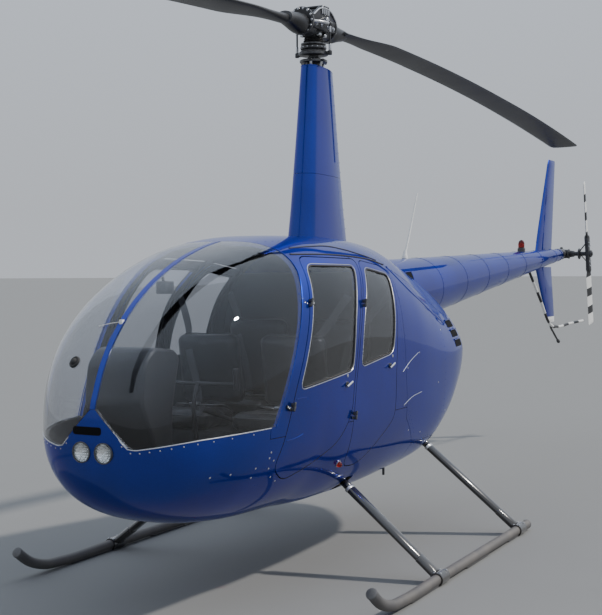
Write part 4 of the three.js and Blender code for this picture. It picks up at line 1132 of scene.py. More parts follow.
def foil_loop(reach, proud=0.0):
    """Points [share behind the nose, share of the thickness] over the top and back underneath, as far aft
    as a share of the chord, stood off by a share of the thickness."""
    share = reach * np.linspace(0, 1, 15) ** 1.8
    top = foil(share) + proud
    return np.concatenate([np.stack([share, top], -1), np.stack([share, -top], -1)[::-1][:-1]])


def blade_shape(start, end, reach, proud, count, tip_rise):
    """A blade along +x between two shares of the radius. A chord's point at share c lies at
    y = chord (0.3 - c), turned by the pitch, at the height teeter - 0.020 - 0.391 share^1.8, and the rotor's
    tilt on its teeter bolt adds tip_rise share."""
    share = np.linspace(start, end, count)
    rows = monotone(BLADE[:, 0], BLADE[:, 1:], share)
    chord, thick, pitch = (rows[:, i:i + 1] for i in range(3))
    loop = foil_loop(reach, proud)[None]
    y = chord * (0.3 - loop[..., 0]) + proud * thick
    z = thick * loop[..., 1]
    turn = np.radians(pitch)
    drop = TEETER - 0.020 - 0.391 * share[:, None] ** 1.8 + tip_rise * share[:, None]
    x = np.broadcast_to(share[:, None] * ROTOR_RADIUS, y.shape)
    return loft(np.stack([x, y * np.cos(turn) - z * np.sin(turn),
                          drop + y * np.sin(turn) + z * np.cos(turn)], -1))


TIP_RISE = ROTOR_RADIUS * sin(radians(0.75))
ends = {"aft": (Matrix.Identity(4), TIP_RISE), "fore": (Matrix.Rotation(pi, 4, "Z"), -TIP_RISE)}
for word, (turn, rise) in ends.items():
    blade = turned(turned(blade_shape(0.062, 1.0, 1.0, 0.0, 90, rise), turn), ROTOR)
    put(f"main_blade_{word}_skin", blade, blade_paint, "main_rotor", f"main_blade_{word}", sharp=50)
    guard = turned(turned(blade_shape(0.30, 0.988, 0.09, 0.03, 40, rise), turn), ROTOR)
    put(f"blade_edge_strip_{word}", guard, skid_metal, "main_rotor", sharp=50)

# %% [markdown]
# The tail cone is a riveted tube that tapers aft. Narrow lap joints ring it where its sheets meet, each
# under two rows of rivets, and a last band ends it at the gearbox.
# %% Tail cone
CONE_ROOT = CONE_FRONT + 0.29
cone_bore = cone_solid(CONE_ROOT - 0.01, CONE_BACK + 0.008, -0.008)
tail_tube = carve(cone_solid(CONE_ROOT, CONE_BACK, 0), less=[cone_bore])
LAPS = np.linspace(-1.75, -5.45, 7)
bands = [cone_solid(x + 0.02, x - 0.02, 0.0012) for x in LAPS] + [cone_solid(-5.665, CONE_BACK, 0.003)]
put("tail_cone_skin", [tail_tube] + bands, blue_paint, stands_for="tail_cone")


def on_cone(x, angle, lift=0.0):
    """Places and outward directions on the cone, by x and the angle from port towards the top."""
    x, angle = np.broadcast_arrays(np.asarray(x, float), np.asarray(angle, float))
    out = np.stack([np.zeros(x.shape), np.cos(angle), np.sin(angle)], -1)
    middle = np.stack([x, np.zeros(x.shape), cone_z(x)], -1)
    return middle + out * (cone_r(x) + lift)[..., None], out


rows_x = np.concatenate([LAPS + 0.013, LAPS - 0.013])
lap_places, lap_out = on_cone(np.repeat(rows_x, 40), np.tile(angles(40), len(rows_x)), 0.001)
line_x = np.arange(-1.8, -5.6, -0.045)
line_places, line_out = on_cone(line_x, np.full(line_x.shape, -0.35 * pi))
put("tail_cone_rivets", domes(np.concatenate([lap_places, line_places, line_places * [1, -1, 1]]),
                              np.concatenate([lap_out, line_out, line_out * [1, -1, 1]]), 0.003, 0.0012, 6),
    blue_paint)

# %% [markdown]
# The fins and the stabilizer are airfoils too, thickest a third of the way back, with thinned tips. A
# thin strip covers each fin's leading edge, and the lower fin's foot is white.
# %% Fins and stabilizer
# Rows: z, x of the leading edge, x of the trailing edge, thickness
UPPER_FIN = np.array([[1.880, -4.905, -5.470, 0.046], [2.100, -5.010, -5.505, 0.044],
                      [2.780, -5.349, -5.602, 0.028], [2.805, -5.372, -5.600, 0.012]])
LOWER_FIN = np.array([[1.740, -4.912, -5.465, 0.046], [1.500, -5.098, -5.520, 0.040],
                      [1.215, -5.324, -5.587, 0.027], [1.190, -5.350, -5.584, 0.012]])


def fin(rows, start, end, reach=1.0, proud=0.0, count=30):
    """An upright fin between two shares of its height, straight between its rows."""
    gone = (rows[:, 0] - rows[0, 0]) / (rows[-1, 0] - rows[0, 0])
    share = np.linspace(start, end, count)
    z, lead, tail, thick = (np.interp(share, gone, rows[:, i])[:, None] for i in range(4))
    loop = foil_loop(reach, proud)[None]
    x = lead - (lead - tail) * loop[..., 0] + proud * thick
    return loft(np.stack([x, thick * loop[..., 1], np.broadcast_to(z, x.shape)], -1))


cone_clear = cone_solid(CONE_FRONT, CONE_BACK, 0.0003)
put("upper_fin_skin", carve(fin(UPPER_FIN, 0, 1), less=[cone_clear]), blue_paint,
    stands_for="upper_fin", sharp=50)
put("lower_fin_skin", carve(fin(LOWER_FIN, 0, 0.9), less=[cone_clear]), blue_paint,
    stands_for="lower_fin", sharp=50)
put("lower_fin_band", fin(LOWER_FIN, 0.9, 1, count=8), white_paint, sharp=50)
put("fin_edge_strips", [fin(UPPER_FIN, 0.1, 0.95, 0.03, 0.03), fin(LOWER_FIN, 0.25, 0.85, 0.03, 0.03)],
    blue_paint, sharp=50)
STAB_LEAD, STAB_Z = -4.880, 1.815
stab_y = np.concatenate([np.linspace(-0.06, -0.875, 20), [-0.885, -0.890]])
stab_chord = (np.interp(-stab_y, [0.06, 0.890], [0.400, 0.380]) - [*[0] * 20, 0.01, 0.03])[:, None]
stab_thick = np.array([0.040] * 20 + [0.030, 0.012])[:, None]
loop = foil_loop(1.0)[None]
stab_x = STAB_LEAD - stab_chord * loop[..., 0]
stab = loft(np.stack([stab_x, np.broadcast_to(stab_y[:, None], stab_x.shape),
                      STAB_Z + stab_thick * loop[..., 1]], -1))
put("stabilizer_skin", carve(stab, less=[cone_clear]), blue_paint,
    stands_for="horizontal_stabilizer", sharp=50)

# %% [markdown]
# At the end of the cone sits the tail gearbox, a casting with a flange, cooling ribs and a filler cap. Its
# shaft carries the tail rotor, whose two blades are banded in black and white so that they show.
# %% Tail gearbox and rotor
TAIL_HUB = np.array([-5.884, 0.268, 1.875])
TAIL_RADIUS = 0.737
gear_z = float(cone_z(CONE_BACK))
tail_out = [TAIL_HUB[0] + 0.055 - CONE_BACK, 0, TAIL_HUB[2] - gear_z]
gearbox = [
    lathe([[0, 0.058], [0.012, 0.058], [0.014, 0.046], [0.05, 0.044], [0.06, 0.052], [0.13, 0.052]],
          [CONE_BACK - 0.0003, 0, gear_z], tail_out, 40),
    lathe([[0, 0.03], [0.004, 0.046], [0.05, 0.052], [0.07, 0.052], [0.08, 0.046], [0.12, 0.044],
           [0.125, 0.050], [0.135, 0.050], [0.14, 0.036], [0.186, 0.030]],
          [TAIL_HUB[0], -0.058, TAIL_HUB[2]], PORT, 40),
    rounded_rod([TAIL_HUB[0], -0.005, TAIL_HUB[2] + 0.03], [TAIL_HUB[0], -0.005, TAIL_HUB[2] + 0.07], 0.014),
]
for i in range(5):
    y = -0.045 + i * 0.012
    gearbox.append(lathe([[0, 0.054], [0.001, 0.0565], [0.003, 0.0565], [0.004, 0.054]],
                         [TAIL_HUB[0], y, TAIL_HUB[2]], PORT, 40))
put("tail_gearbox_case", gearbox, black_paint, stands_for="tail_gearbox")
flange_bolts = np.column_stack([np.full(8, CONE_BACK - 0.011), ring(0.051, 8) + [0, gear_z]])
put("tail_gearbox_bolts", domes(flange_bolts, -AHEAD, 0.004, 0.004), bare_metal)

TAIL_TURN = Matrix.Translation(TAIL_HUB) @ Matrix.Rotation(radians(12.7), 4, "Y")
tail_hub = [
    rounded_rod([0, 0.1303 - TAIL_HUB[1], 0], [0, 0.05, 0], 0.022),
    block((-0.036, -0.020, -0.17), (0.036, 0.020, 0.17), 0.004, 0.012),
    lathe([[0, 0.034], [0.01, 0.036], [0.02, 0.034], [0.022, 0.022]], [0, 0.02, 0], PORT, 32),
    lathe([[0, 0.05], [0.003, 0.056], [0.012, 0.056], [0.015, 0.05]], [0, -0.095, 0], PORT, 40),
]
for end in (1, -1):
    tail_hub.append(rounded_rod([end * 0.045, -0.085, end * 0.02], [end * 0.045, -0.002, end * 0.12], 0.006))
    tail_hub.append(lathe([[0, 0.026], [0.08, 0.028], [0.1, 0.022]], [0, 0, end * 0.09], [0, 0, end], 24))
put("tail_rotor_yoke", turned(joined(tail_hub), TAIL_TURN), black_paint, "tail_rotor", "tail_rotor_hub")
yoke_bolts = [[x, 0.02, z] for x in (-0.02, 0.02) for z in (-0.12, -0.08, 0.08, 0.12)]
put("tail_rotor_bolts", turned(bolts(yoke_bolts, PORT, 0.007, 0.006), TAIL_TURN), bare_metal, "tail_rotor")
# Columns: share of the radius, chord, thickness
TAIL_BLADE = np.array([[0.20, 0.070, 0.030], [0.30, 0.130, 0.020], [0.98, 0.130, 0.015], [1.0, 0.112, 0.007]])
BANDS = {"dark": (blade_paint, [(0.148, 0.234), (0.352, 0.436), (0.541, 0.620)]),
         "white": (white_paint, [(0.234, 0.352), (0.436, 0.541), (0.620, TAIL_RADIUS)])}


def tail_blade(inner_end, outer_end):
    """A stretch of tail blade along z, turned by its pitch of 7 degrees."""
    radius = np.linspace(inner_end, outer_end, 14)
    chord, thick = (column[:, None] for column in columns(TAIL_BLADE, radius / TAIL_RADIUS))
    loop = foil_loop(1.0)[None]
    x, y = chord * (0.4 - loop[..., 0]), thick * loop[..., 1]
    c, s = cos(radians(7)), sin(radians(7))
    z = np.broadcast_to(radius[:, None], x.shape)
    return loft(np.stack([x * c - y * s, x * s + y * c, z], -1))


for word, turn in {"upper": Matrix.Identity(4), "lower": Matrix.Rotation(pi, 4, "Y")}.items():
    for tone, (paint, spans) in BANDS.items():
        stretches = turned(turned(joined([tail_blade(*span) for span in spans]), turn), TAIL_TURN)
        put(f"tail_blade_{word}_{tone}", stretches, paint, "tail_rotor",
            f"tail_blade_{word}" if tone == "dark" else (), sharp=50)

# %% [markdown]
# A bent tube guards the tail rotor. Its stripes are separate lengths of one path. A spring skid under the
# lower fin, a beacon and a whip aerial finish the tail.
# %% Guard, tail skid, beacon and aerial
GUARD_X = -4.690
guard_foot = [GUARD_X, 0, float(cone_z(GUARD_X) - cone_r(GUARD_X)) + 0.012]
guard_path = curve([guard_foot, [-4.950, 0.030, 1.440], [-5.240, 0.060, 1.170], [-5.420, 0.070, 1.145],
                    [-5.800, 0.110, 1.165], [-6.150, 0.150, 1.180]], 133)
stripes = {"white": [], "dark": []}
for i in range(12):
    path = guard_path[i * 11:i * 11 + 12]
    stripes["white" if i % 2 else "dark"].append(tube(path, 0.013, 20))
put("tail_guard_white", stripes["white"], white_paint, stands_for="tail_guard")
guard_end = rounded_rod(guard_path[-1], guard_path[-1] + [-0.01, 0.001, 0], 0.013)
put("tail_guard_dark", stripes["dark"] + [guard_end], black_paint)
collar = [[0, 0.016], [0.002, 0.018], [0.03, 0.018], [0.032, 0.016]]
clamp = [lathe(collar, guard_path[66], [-0.6, 0.1, -0.1]),
         lathe([[0, 0.03], [0.004, 0.032], [0.012, 0.02]], guard_foot, -UP)]
skid_path = curve([[-5.430, 0, 1.190], [-5.450, 0, 1.150], [-5.560, 0, 1.080], [-5.760, 0, 0.975]], 30)
shoe = rounded_rod(skid_path[-1] + [0.03, 0, 0.016], skid_path[-1] + [-0.002, 0, -0.001], 0.017)
put("tail_skid_spring", [tube(skid_path, 0.0105, 16), shoe] + clamp, black_paint, stands_for="tail_skid")

BEACON_X, AERIAL_X = -4.440, -1.517
beacon_z = float(cone_z(BEACON_X) + cone_r(BEACON_X))
beacon_base = lathe([[0, 0.036], [0.03, 0.036], [0.034, 0.030], [0.04, 0.030]],
                    [BEACON_X, 0, beacon_z - 0.004], UP, 40)
dome_turn = np.linspace(0, pi / 2, 10)
beacon_tall = 1.990 - beacon_z - 0.036
dome_profile = [[0, 0.029]] + [[beacon_tall * (0.45 + 0.55 * sin(a)), 0.029 * cos(a) + 0.0005]
                               for a in dome_turn]
put("beacon_base", carve(beacon_base, less=[cone_clear]), black_paint)
put("beacon_lens", lathe(dome_profile, [BEACON_X, 0, beacon_z + 0.036], UP, 40), beacon_glass,
    stands_for="beacon")
put("beacon_lamp", lathe([[0, 0.016], [0.02, 0.016], [0.022, 0.006], [0.03, 0.006]],
                         [BEACON_X, 0, beacon_z + 0.0365], UP, 24), mirror_metal)

aerial_z = float(cone_z(AERIAL_X) + cone_r(AERIAL_X))
aerial_base = [lathe([[-0.004, 0.024], [0.004, 0.024], [0.02, 0.019], [0.06, 0.0105]],
                     [AERIAL_X, 0, aerial_z + 0.0003], [-0.18, 0, 1], 32)]
whip = curve([[-1.520, 0, aerial_z + 0.02], [-1.600, 0, 1.960], [-1.690, 0, 2.130], [-1.770, 0, 2.282]], 24)
put("aerial_whip", aerial_base + [tube(whip, 0.0095, 12, PORT, np.linspace(1, 0.5, 24))], white_paint,
    stands_for="whip_antenna")

# %% [markdown]
# Each pair of legs is one cross tube with fairings over its sloping parts. Below, a saddle clamps round the
# skid. The fairings are dark and glossy, and a bright collar closes their upper ends.
# %% Landing gear
BOWS = {"front": (0.637, 0.574, 0.512), "rear": (-0.826, -0.670, 0.600)}
SKID_Y, SKID_RADIUS, SHOE = 1.061, 0.029, 0.006
SKID_Z = SKID_RADIUS + SHOE
LEG_TOP_Y = 0.455


def leg_section(chord, thick):
    """A streamlined section [x, square to x]: thick sin(a) (1 - 0.45 ((1 - cos a) / 2)^2) / 2."""
    angle = angles(40)
    aft = (1 - np.cos(angle)) / 2
    return np.stack([np.cos(angle) * chord / 2, np.sin(angle) * thick / 2 * (1 - 0.45 * aft**2)], -1)


for name, (foot_x, top_x, top_z) in BOWS.items():
    foot, top = np.array([foot_x, SKID_Y, SKID_Z]), np.array([top_x, LEG_TOP_Y, top_z])
    lean = unit(top - foot)
    square = unit(np.cross(AHEAD, lean))
    dark, bright = [], []
    for start, end, chord, thick, shapes in (
            (0.055, 0.93, 0.096, 0.050, dark), (0.91, 0.935, 0.101, 0.055, bright),
            (0.045, 0.205, 0.102, 0.056, dark), (0.93, 1.0, 0.06, 0.05, dark)):
        share = np.array([start, start + 0.004, end - 0.004, end])
        swell = np.array([0.93, 1, 1, 0.93])
        middle = foot + share[:, None] * (top - foot)
        section = swell[:, None, None] * leg_section(chord, thick)
        shapes.append(loft(carried(middle, section, AHEAD[None], square[None])))
    saddle = lathe([[0, 0.036], [0.002, 0.038], [0.118, 0.038], [0.12, 0.036]],
                   [foot_x - 0.06, SKID_Y, SKID_Z], AHEAD, 40)
    boss = loft([foot + level_ring(0.045, 32, 0.005, 0.62),
                 foot + 0.05 * (top - foot) + level_ring(0.047, 32, 0, 0.6),
                 foot + 0.075 * (top - foot) + level_ring(0.040, 32, 0, 0.45)])
    dark += [saddle, boss]
    screws = [[foot_x + dx, SKID_Y + dy, SKID_Z + 0.033] for dx in (-0.045, 0.045) for dy in (-0.018, 0.018)]
    bright.append(bolts(screws, [[0, dy, 1] for dy in (-0.5, 0.5, -0.5, 0.5)], 0.006, 0.006))
    across_tube = rounded_rod([top_x, -LEG_TOP_Y, top_z], [top_x, LEG_TOP_Y, top_z], 0.024, 0.004, 32)
    put(f"gear_legs_{name}", both(*dark) + [across_tube], gloss_black, stands_for=f"gear_bow_{name}")
    put(f"gear_collars_{name}", both(*bright), bare_metal)

SKID_PATH = [[-1.010, 0], [-0.600, 0], [0, 0], [0.700, 0], [1.180, 0], [1.340, 0.012], [1.480, 0.058],
             [1.585, 0.128]]
SHOES = [(-0.960, -0.560), (-0.160, 0.240), (0.620, 1.100)]
for word, side in SIDES.items():
    path = curve([[x, side * SKID_Y, SKID_Z + rise] for x, rise in SKID_PATH], 90)
    toe = path[-1] - path[-2]
    toe_cap = [[0, 0.030], [0.004, 0.0305], [0.012, 0.027], [0.017, 0.015]]
    heel_cap = [[0, 0.030], [0.012, 0.0305], [0.022, 0.02]]
    runner = [tube(path, SKID_RADIUS, 32), lathe(toe_cap, path[-1] - unit(toe) * 0.01, toe),
              lathe(heel_cap, path[0] + [0.012, 0, 0], -AHEAD)]
    shoes = [block((back, side * SKID_Y - 0.018, 0), (front, side * SKID_Y + 0.018, 0.012), 0.003, 0.012)
             for back, front in SHOES]
    put(f"skid_{word}_tube", runner, skid_paint, stands_for=f"skid_{word}")
    put(f"skid_{word}_shoes", shoes, black_paint)

# %% [markdown]
# Inside, the cabin is lined with pressed trim. Its floor is carpeted, and the seats stand on two boxes that
# run across it. The bulkhead behind them closes the engine bay off.
# %% Cabin lining, floor and seat boxes
liner_cutter = side_prism(rectangle(0.05, SILL_Z + 0.004, NOSE_SEAM - 0.1, OUT))
liner = carve(trim_outer, liner_cutter, [trim_inner, door_cutters(0.012), screen_cutters(0.02),
                                         block((1.1, -0.05, 1.2), (2.5, 0.05, 2.2), 0.001, 0.001)])
put("cabin_liner", liner, cabin_trim)
FLOOR_Z = (0.552, 0.572)
SEAT_BASE = 0.840
BULKHEAD_X = (0.076, 0.092)
room = shell_solid(WALL + 0.001)
close_room = shell_solid(WALL + 0.015)
floor_slab = block((BULKHEAD_X[0], -1, FLOOR_Z[0]), (2.080, 1, FLOOR_Z[1]), 0.002, 0.001)
carpet_sheet = carve(room, floor_slab)
boxes = [carve(close_room, block(low, high, 0.006, 0.012)) for low, high in (
    ((0.740, -1, FLOOR_Z[1] - 0.01), (1.190, 1, SEAT_BASE)),
    ((BULKHEAD_X[1] - 0.01, -1, FLOOR_Z[1] - 0.01), (0.560, 1, SEAT_BASE)),
    ((BULKHEAD_X[0], -1, FLOOR_Z[0]), (BULKHEAD_X[1], 1, 1.700)))]
put("cabin_carpet", carpet_sheet, carpet, stands_for="cabin_floor")
put("seat_boxes", boxes, cabin_trim)

# %% [markdown]
# The seats are foam pads under leather. Each pad begins as a rounded slab, remeshed into small even faces.
# Blender's cloth solver then blows it up a little, so that its faces crown and its sides pull in between
# the corners. The move is capped, channels are pressed in, and a welt of piping follows the rim. Two pads
# are worked out, a seat and a back, and each is used four times.
# %% Seat pads
leather = finish("leather", (0.010, 0.010, 0.012), 0.40, tone=0.3, scale=260.0, depth=0.00015, dusty=0.05,
                 worn=0.15, Sheen_Weight=0.1, Coat_Weight=0.15, Coat_Roughness=0.35)
PAD_WIDE = 0.410


def puffed(shape, cap, voxel=0.0085, pressure=4.0):
    """A shape remeshed evenly and blown up as cloth for 20 frames, no point moving further than cap."""
    thing = in_scene("pad", mesh_of("pad", shape))
    remesh = thing.modifiers.new("remesh", "REMESH")
    remesh.mode, remesh.voxel_size = "VOXEL", voxel
    even = shape_of(thing)
    bpy.data.objects.remove(thing)
    thing = in_scene("pad", mesh_of("pad", even))
    cloth = thing.modifiers.new("cloth", "CLOTH")
    cloth.settings.use_pressure = True
    cloth.settings.uniform_pressure_force = pressure
    cloth.settings.effector_weights.gravity = 0
    cloth.settings.quality = 5
    for frame_number in range(1, 21):
        bpy.context.scene.frame_set(frame_number)
    blown = shape_of(thing)[0]
    bpy.context.scene.frame_set(1)
    bpy.data.objects.remove(thing)
    move = blown - even[0]
    length = np.linalg.norm(move, axis=1, keepdims=True)
    return even[0] + move * np.minimum(1, cap / np.maximum(length, 1e-9)), even[1]


def channelled(shape, lines, deep=0.007, wide=0.009):
    """Sewn channels pressed into the upper face: at a distance d from a line x = constant, points sink by
    deep exp(-(d / wide)^2)."""
    points, faces = shape
    top = points[:, 2] > 0
    sink = sum(np.exp(-((points[:, 0] - line) / wide) ** 2) for line in lines) * deep
    points = points.copy()
    points[:, 2] -= np.where(top, sink * np.clip(points[:, 2] / 0.03, 0, 1), 0)
    return points, faces


def welt(shape, height, radius=0.0035):
    """Piping round a pad at a height: the outermost points near it, by angle, smoothed to a closed path."""
    points = shape[0]
    near = points[np.abs(points[:, 2] - height) < 0.006]
    angle = np.arctan2(near[:, 1], near[:, 0])
    far = np.hypot(near[:, 0], near[:, 1])
    at = np.linspace(-pi, pi, 181)[:-1]
    reach = np.array([far[np.abs((angle - a + pi) % (2 * pi) - pi) < 0.04].max() for a in at])
    reach = (np.roll(reach, 1) + 2 * reach + np.roll(reach, -1)) / 4
    path = np.stack([np.cos(at) * reach, np.sin(at) * reach, np.full(180, height)], -1)
    ahead_of = unit(np.roll(path, -1, 0) - np.roll(path, 1, 0))
    across_it = np.cross(ahead_of, UP)
    return loft(carried(path, ring(radius, 8)[None], across_it, UP[None]), ring=True)


def slab(long, wide, thick):
    """A slab centred on the origin with rounded corners and rims."""
    outline = rounded(rectangle(-long / 2, -wide / 2, long / 2, wide / 2, 0.06))
    return plate(outline, [0, 0, -thick / 2], AHEAD, PORT, thick, thick * 0.35, 6)


PUFF_CAP, WELT_Z = 0.014, 0.022
seat_pad = channelled(puffed(slab(0.375, PAD_WIDE, 0.076), PUFF_CAP), [-0.05, 0.06])
back_pad = channelled(puffed(slab(0.445, PAD_WIDE, 0.078), PUFF_CAP), [-0.10, 0.03])
pads = {"seat": (seat_pad, welt(seat_pad, WELT_Z)), "back": (back_pad, welt(back_pad, WELT_Z))}
# x and z of the middle of each pad, its tilt about y in degrees, and how much longer it is
SEATS = {
    "front": {"seat": (1.040, 0.892, -2, 0.99), "back": (0.812, 1.152, -80, 0.94)},
    "rear": {"seat": (0.420, 0.892, -2, 0.94), "back": (0.215, 1.190, -85, 1.06)},
}
SEAT_MIDDLE = 0.269
for place, halves in SEATS.items():
    for word, side in SIDES.items():
        for half, (x, z, tilt, longer) in halves.items():
            to_place = (Matrix.Translation((x, side * SEAT_MIDDLE, z))
                        @ Matrix.Rotation(radians(tilt), 4, "Y") @ Matrix.Diagonal((longer, 1, 1, 1)))
            stands = f"seat_{place}_{word}" if half == "seat" else ()
            piece = put(f"pad_{half}_{place}_{word}", turned(pads[half][0], to_place), leather,
                        stands_for=stands, sharp=180)
            smooth = piece.modifiers.new("smooth", "SUBSURF")
            smooth.levels = smooth.render_levels = 1
            put(f"welt_{half}_{place}_{word}", turned(pads[half][1], to_place), leather)

# %% [markdown]
# The belts are flat webbing: the two halves of a lap strap lie on each seat, and a shoulder strap runs
# down each back.
# %% Belts
def strap(points, wide=0.046, thick=0.0025, up=UP):
    section = np.array(rectangle(-wide / 2, -thick / 2, wide / 2, thick / 2))[:, :2]
    return along(curve(points, 30), section, up)


for place, halves in SEATS.items():
    seat_x, seat_z = halves["seat"][:2]
    back_x, back_z = halves["back"][:2]
    straps, buckles = [], []
    for side in SIDES.values():
        y = side * SEAT_MIDDLE
        for lean in (-1, 1):
            straps.append(strap([[seat_x - 0.16, y + lean * 0.19, seat_z + 0.02],
                                 [seat_x - 0.13, y + lean * 0.15, seat_z + 0.058],
                                 [seat_x - 0.08, y + lean * 0.09, seat_z + 0.064],
                                 [seat_x - 0.05, y + lean * 0.03, seat_z + 0.066]]))
        straps.append(strap([[back_x - 0.11, side * 0.545, 1.570],
                             [back_x - 0.02, side * 0.430, back_z + 0.215],
                             [back_x + 0.068, y + side * 0.11, back_z + 0.12],
                             [back_x + 0.074, y + side * 0.06, back_z - 0.05],
                             [back_x + 0.10, y + side * 0.02, back_z - 0.19]], up=AHEAD))
        buckles.append(block((seat_x - 0.075, y - 0.026, seat_z + 0.062),
                             (seat_x - 0.02, y + 0.026, seat_z + 0.078), 0.004, 0.008))
    put(f"belts_{place}", straps, webbing)
    put(f"buckles_{place}", buckles, bare_metal)

# %% [markdown]
# The instrument console is a pedestal with a hooded head. Seen from ahead it is a dark rounded block with a
# soft sheen. Towards the seats it carries round dials with plain ticks, knobs and a stack of boxes.
# %% Console
CONSOLE = [
    [2.190, 1.090, 0.03], [2.165, 1.275, 0.05], [2.075, 1.345, 0.06], [1.900, 1.330, 0.05],
    [1.850, 1.290, 0.03], [1.880, 1.180, 0.02], [1.915, 1.050, 0.06], [1.915, FLOOR_Z[1], 0],
    [2.015, FLOOR_Z[1], 0], [2.090, 0.900, 0.06],
]
CONSOLE_HALF = 0.165
console_edge = rounded(CONSOLE[::-1], 8)
console = plate(console_edge, [0, CONSOLE_HALF, 0], AHEAD, UP, 2 * CONSOLE_HALF, 0.018, 6)
panel_up = unit(np.array([1.880 - 1.850, 0, 1.180 - 1.290]))
panel_out = np.array([-abs(panel_up[2]), 0, -panel_up[0]])
panel_middle = np.array([1.866, 0, 1.234])
bezels, faces, ticks, knobs = [], [], [], []
DIAL = 0.026
for i in range(5):
    centre = panel_middle + [0, (i - 2) * 0.062, 0]
    bezels.append(lathe([[-0.004, DIAL + 0.004], [0.004, DIAL + 0.004], [0.006, DIAL + 0.001],
                         [0.004, DIAL]], centre, panel_out, 32))
    faces.append(lathe([[0, DIAL - 0.001], [0.0045, DIAL - 0.001]], centre, panel_out, 32))
    for a in angles(10):
        spoke = cos(a) * PORT + sin(a) * panel_up
        ticks.append(rounded_rod(centre + panel_out * 0.0048 + spoke * DIAL * 0.72,
                                 centre + panel_out * 0.0048 + spoke * DIAL * 0.9, 0.0008, 0.0002, 6))
    ticks.append(rounded_rod(centre + panel_out * 0.0052, centre + panel_out * 0.0052 + spoke * DIAL * 0.6,
                             0.0008, 0.0002, 6))
for z in (1.13, 1.08, 0.98, 0.90):
    x = np.interp(z, [0.6, 1.05, 1.18], [1.915, 1.915, 1.880])
    knobs.append(block((x - 0.008, -0.085, z - 0.019), (x + 0.02, 0.085, z + 0.019), 0.003, 0.003))
    for y in (-0.06, 0.06):
        knobs.append(lathe([[0, 0.009], [0.010, 0.008], [0.012, 0.006]], [x - 0.008, y, z], -AHEAD, 16))
put("console_hood", console, cabin_plastic, stands_for="instrument_console")
put("console_bezels", bezels + knobs, rubber)
put("console_dials", faces, black_paint)
put("console_ticks", ticks, white_paint)

# %% [markdown]
# The flying controls: a central stick with a cross bar that carries a grip for each seat, two collective
# levers beside the seats, and two pairs of pedals.
# %% Controls
stick = [tube(curve([[1.340, 0, FLOOR_Z[1]], [1.420, 0, 0.800], [1.440, 0, 1.060], [1.405, 0, 1.118]], 30),
              0.012, 20, PORT),
         rounded_rod([1.405, -0.235, 1.118], [1.405, 0.235, 1.118], 0.011),
         lathe([[0, 0.034], [0.02, 0.030], [0.05, 0.018], [0.06, 0.013]], [1.343, 0, FLOOR_Z[1]],
               [0.2, 0, 1])]
grips, pedals = [], []
for side in SIDES.values():
    profile = [[0, 0.012], [0.004, 0.0155], [0.03, 0.0165], [0.05, 0.0145], [0.075, 0.0155], [0.1, 0.0175],
               [0.112, 0.015], [0.116, 0.008]]
    grips.append(lathe(profile, [1.402, side * 0.226, 1.088], [0.05, 0, 1], 24))
    for pair in (-0.06, 0.06):
        y = side * 0.25 + pair
        arm = curve([[1.960, y, FLOOR_Z[1]], [1.930, y, 0.64], [1.900, y, 0.72]], 12)
        pedals.append(tube(arm, 0.008, 12))
        pedals.append(block((1.893, y - 0.035, 0.69), (1.903, y + 0.035, 0.76), 0.003, 0.004))
levers, lever_grips = [], []
for y in (0.515, 0.020):
    lever_path = [[0.990, y, SEAT_BASE + 0.026], [1.200, y, 0.925], [1.400, y, 0.985]]
    levers.append(tube(curve(lever_path, 20), 0.011, 16))
    levers.append(lathe([[0, 0.02], [0.03, 0.016], [0.034, 0.008]], [1.000, y, SEAT_BASE], UP))
    grip_path = [[1.285, y, 0.9535], [1.345, y, 0.971], [1.405, y, 0.9865]]
    lever_grips.append(tube(curve(grip_path, 12), 0.0165, 20))
put("cyclic_and_bar", stick + grips, cabin_plastic, stands_for="cyclic_stick")
put("collective_levers", levers + lever_grips, cabin_plastic,
    stands_for=("collective_left", "collective_right"))
put("pedals", pedals, bare_metal)

# %% [markdown]
# The fan behind the engine is a wheel of curved vanes inside three rings, seen through its hole in the tail
# end of the cowl. The engine itself is closed in; a plain block with rows of cooling ribs stands for it.
# %% Cooling fan and engine
fan_axis = np.array([FAN_X, 0, FAN_Z])
fan_parts = [lathe([[0, 0.07], [0.01, 0.08], [0.1, 0.08], [0.11, 0.06]], fan_axis + [0.05, 0, 0], AHEAD, 40)]
for x in (0.035, 0.16, 0.30):
    section = np.array(rectangle(x, 0.206, x + 0.012, FAN_RADIUS))[:, :2]
    fan_parts.append(hoop(section, fan_axis, AHEAD, 64))
for a in angles(20):
    radius = np.linspace(0.078, 0.210, 8)
    bend = a + (radius - 0.078) * 2.2
    centre = np.stack([np.full(8, 0.10), radius * np.cos(bend), radius * np.sin(bend)], -1)
    side_way = np.stack([np.zeros(8), -np.sin(bend), np.cos(bend)], -1)
    rows = [fan_axis + centre + np.array([dx, 0, 0]) + side_way * dy
            for dx, dy in ((-0.06, -0.0015), (0.2, -0.0015), (0.2, 0.0015), (-0.06, 0.0015))]
    fan_parts.append(loft(np.stack(rows, 1)))
put("fan_wheel", fan_parts, black_paint, stands_for="cooling_fan")
guard_middle = fan_axis + [-0.012, 0, 0]
fan_guard = []
for radius in (0.06, 0.12, 0.18, 0.228):
    round_again = ring(radius, 96)[np.arange(97) % 96]
    fan_guard.append(tube(guard_middle + np.column_stack([np.zeros(97), round_again]), 0.0025, 6, AHEAD))
for a in np.arange(4) / 4 * pi:
    reach = np.array([0, cos(a), sin(a)]) * 0.232
    fan_guard.append(rounded_rod(guard_middle - reach, guard_middle + reach, 0.003))
put("fan_guard", fan_guard, black_paint)
engine = [block((-1.000, -0.20, 0.700), (-0.220, 0.20, 1.055), 0.02, 0.06)]
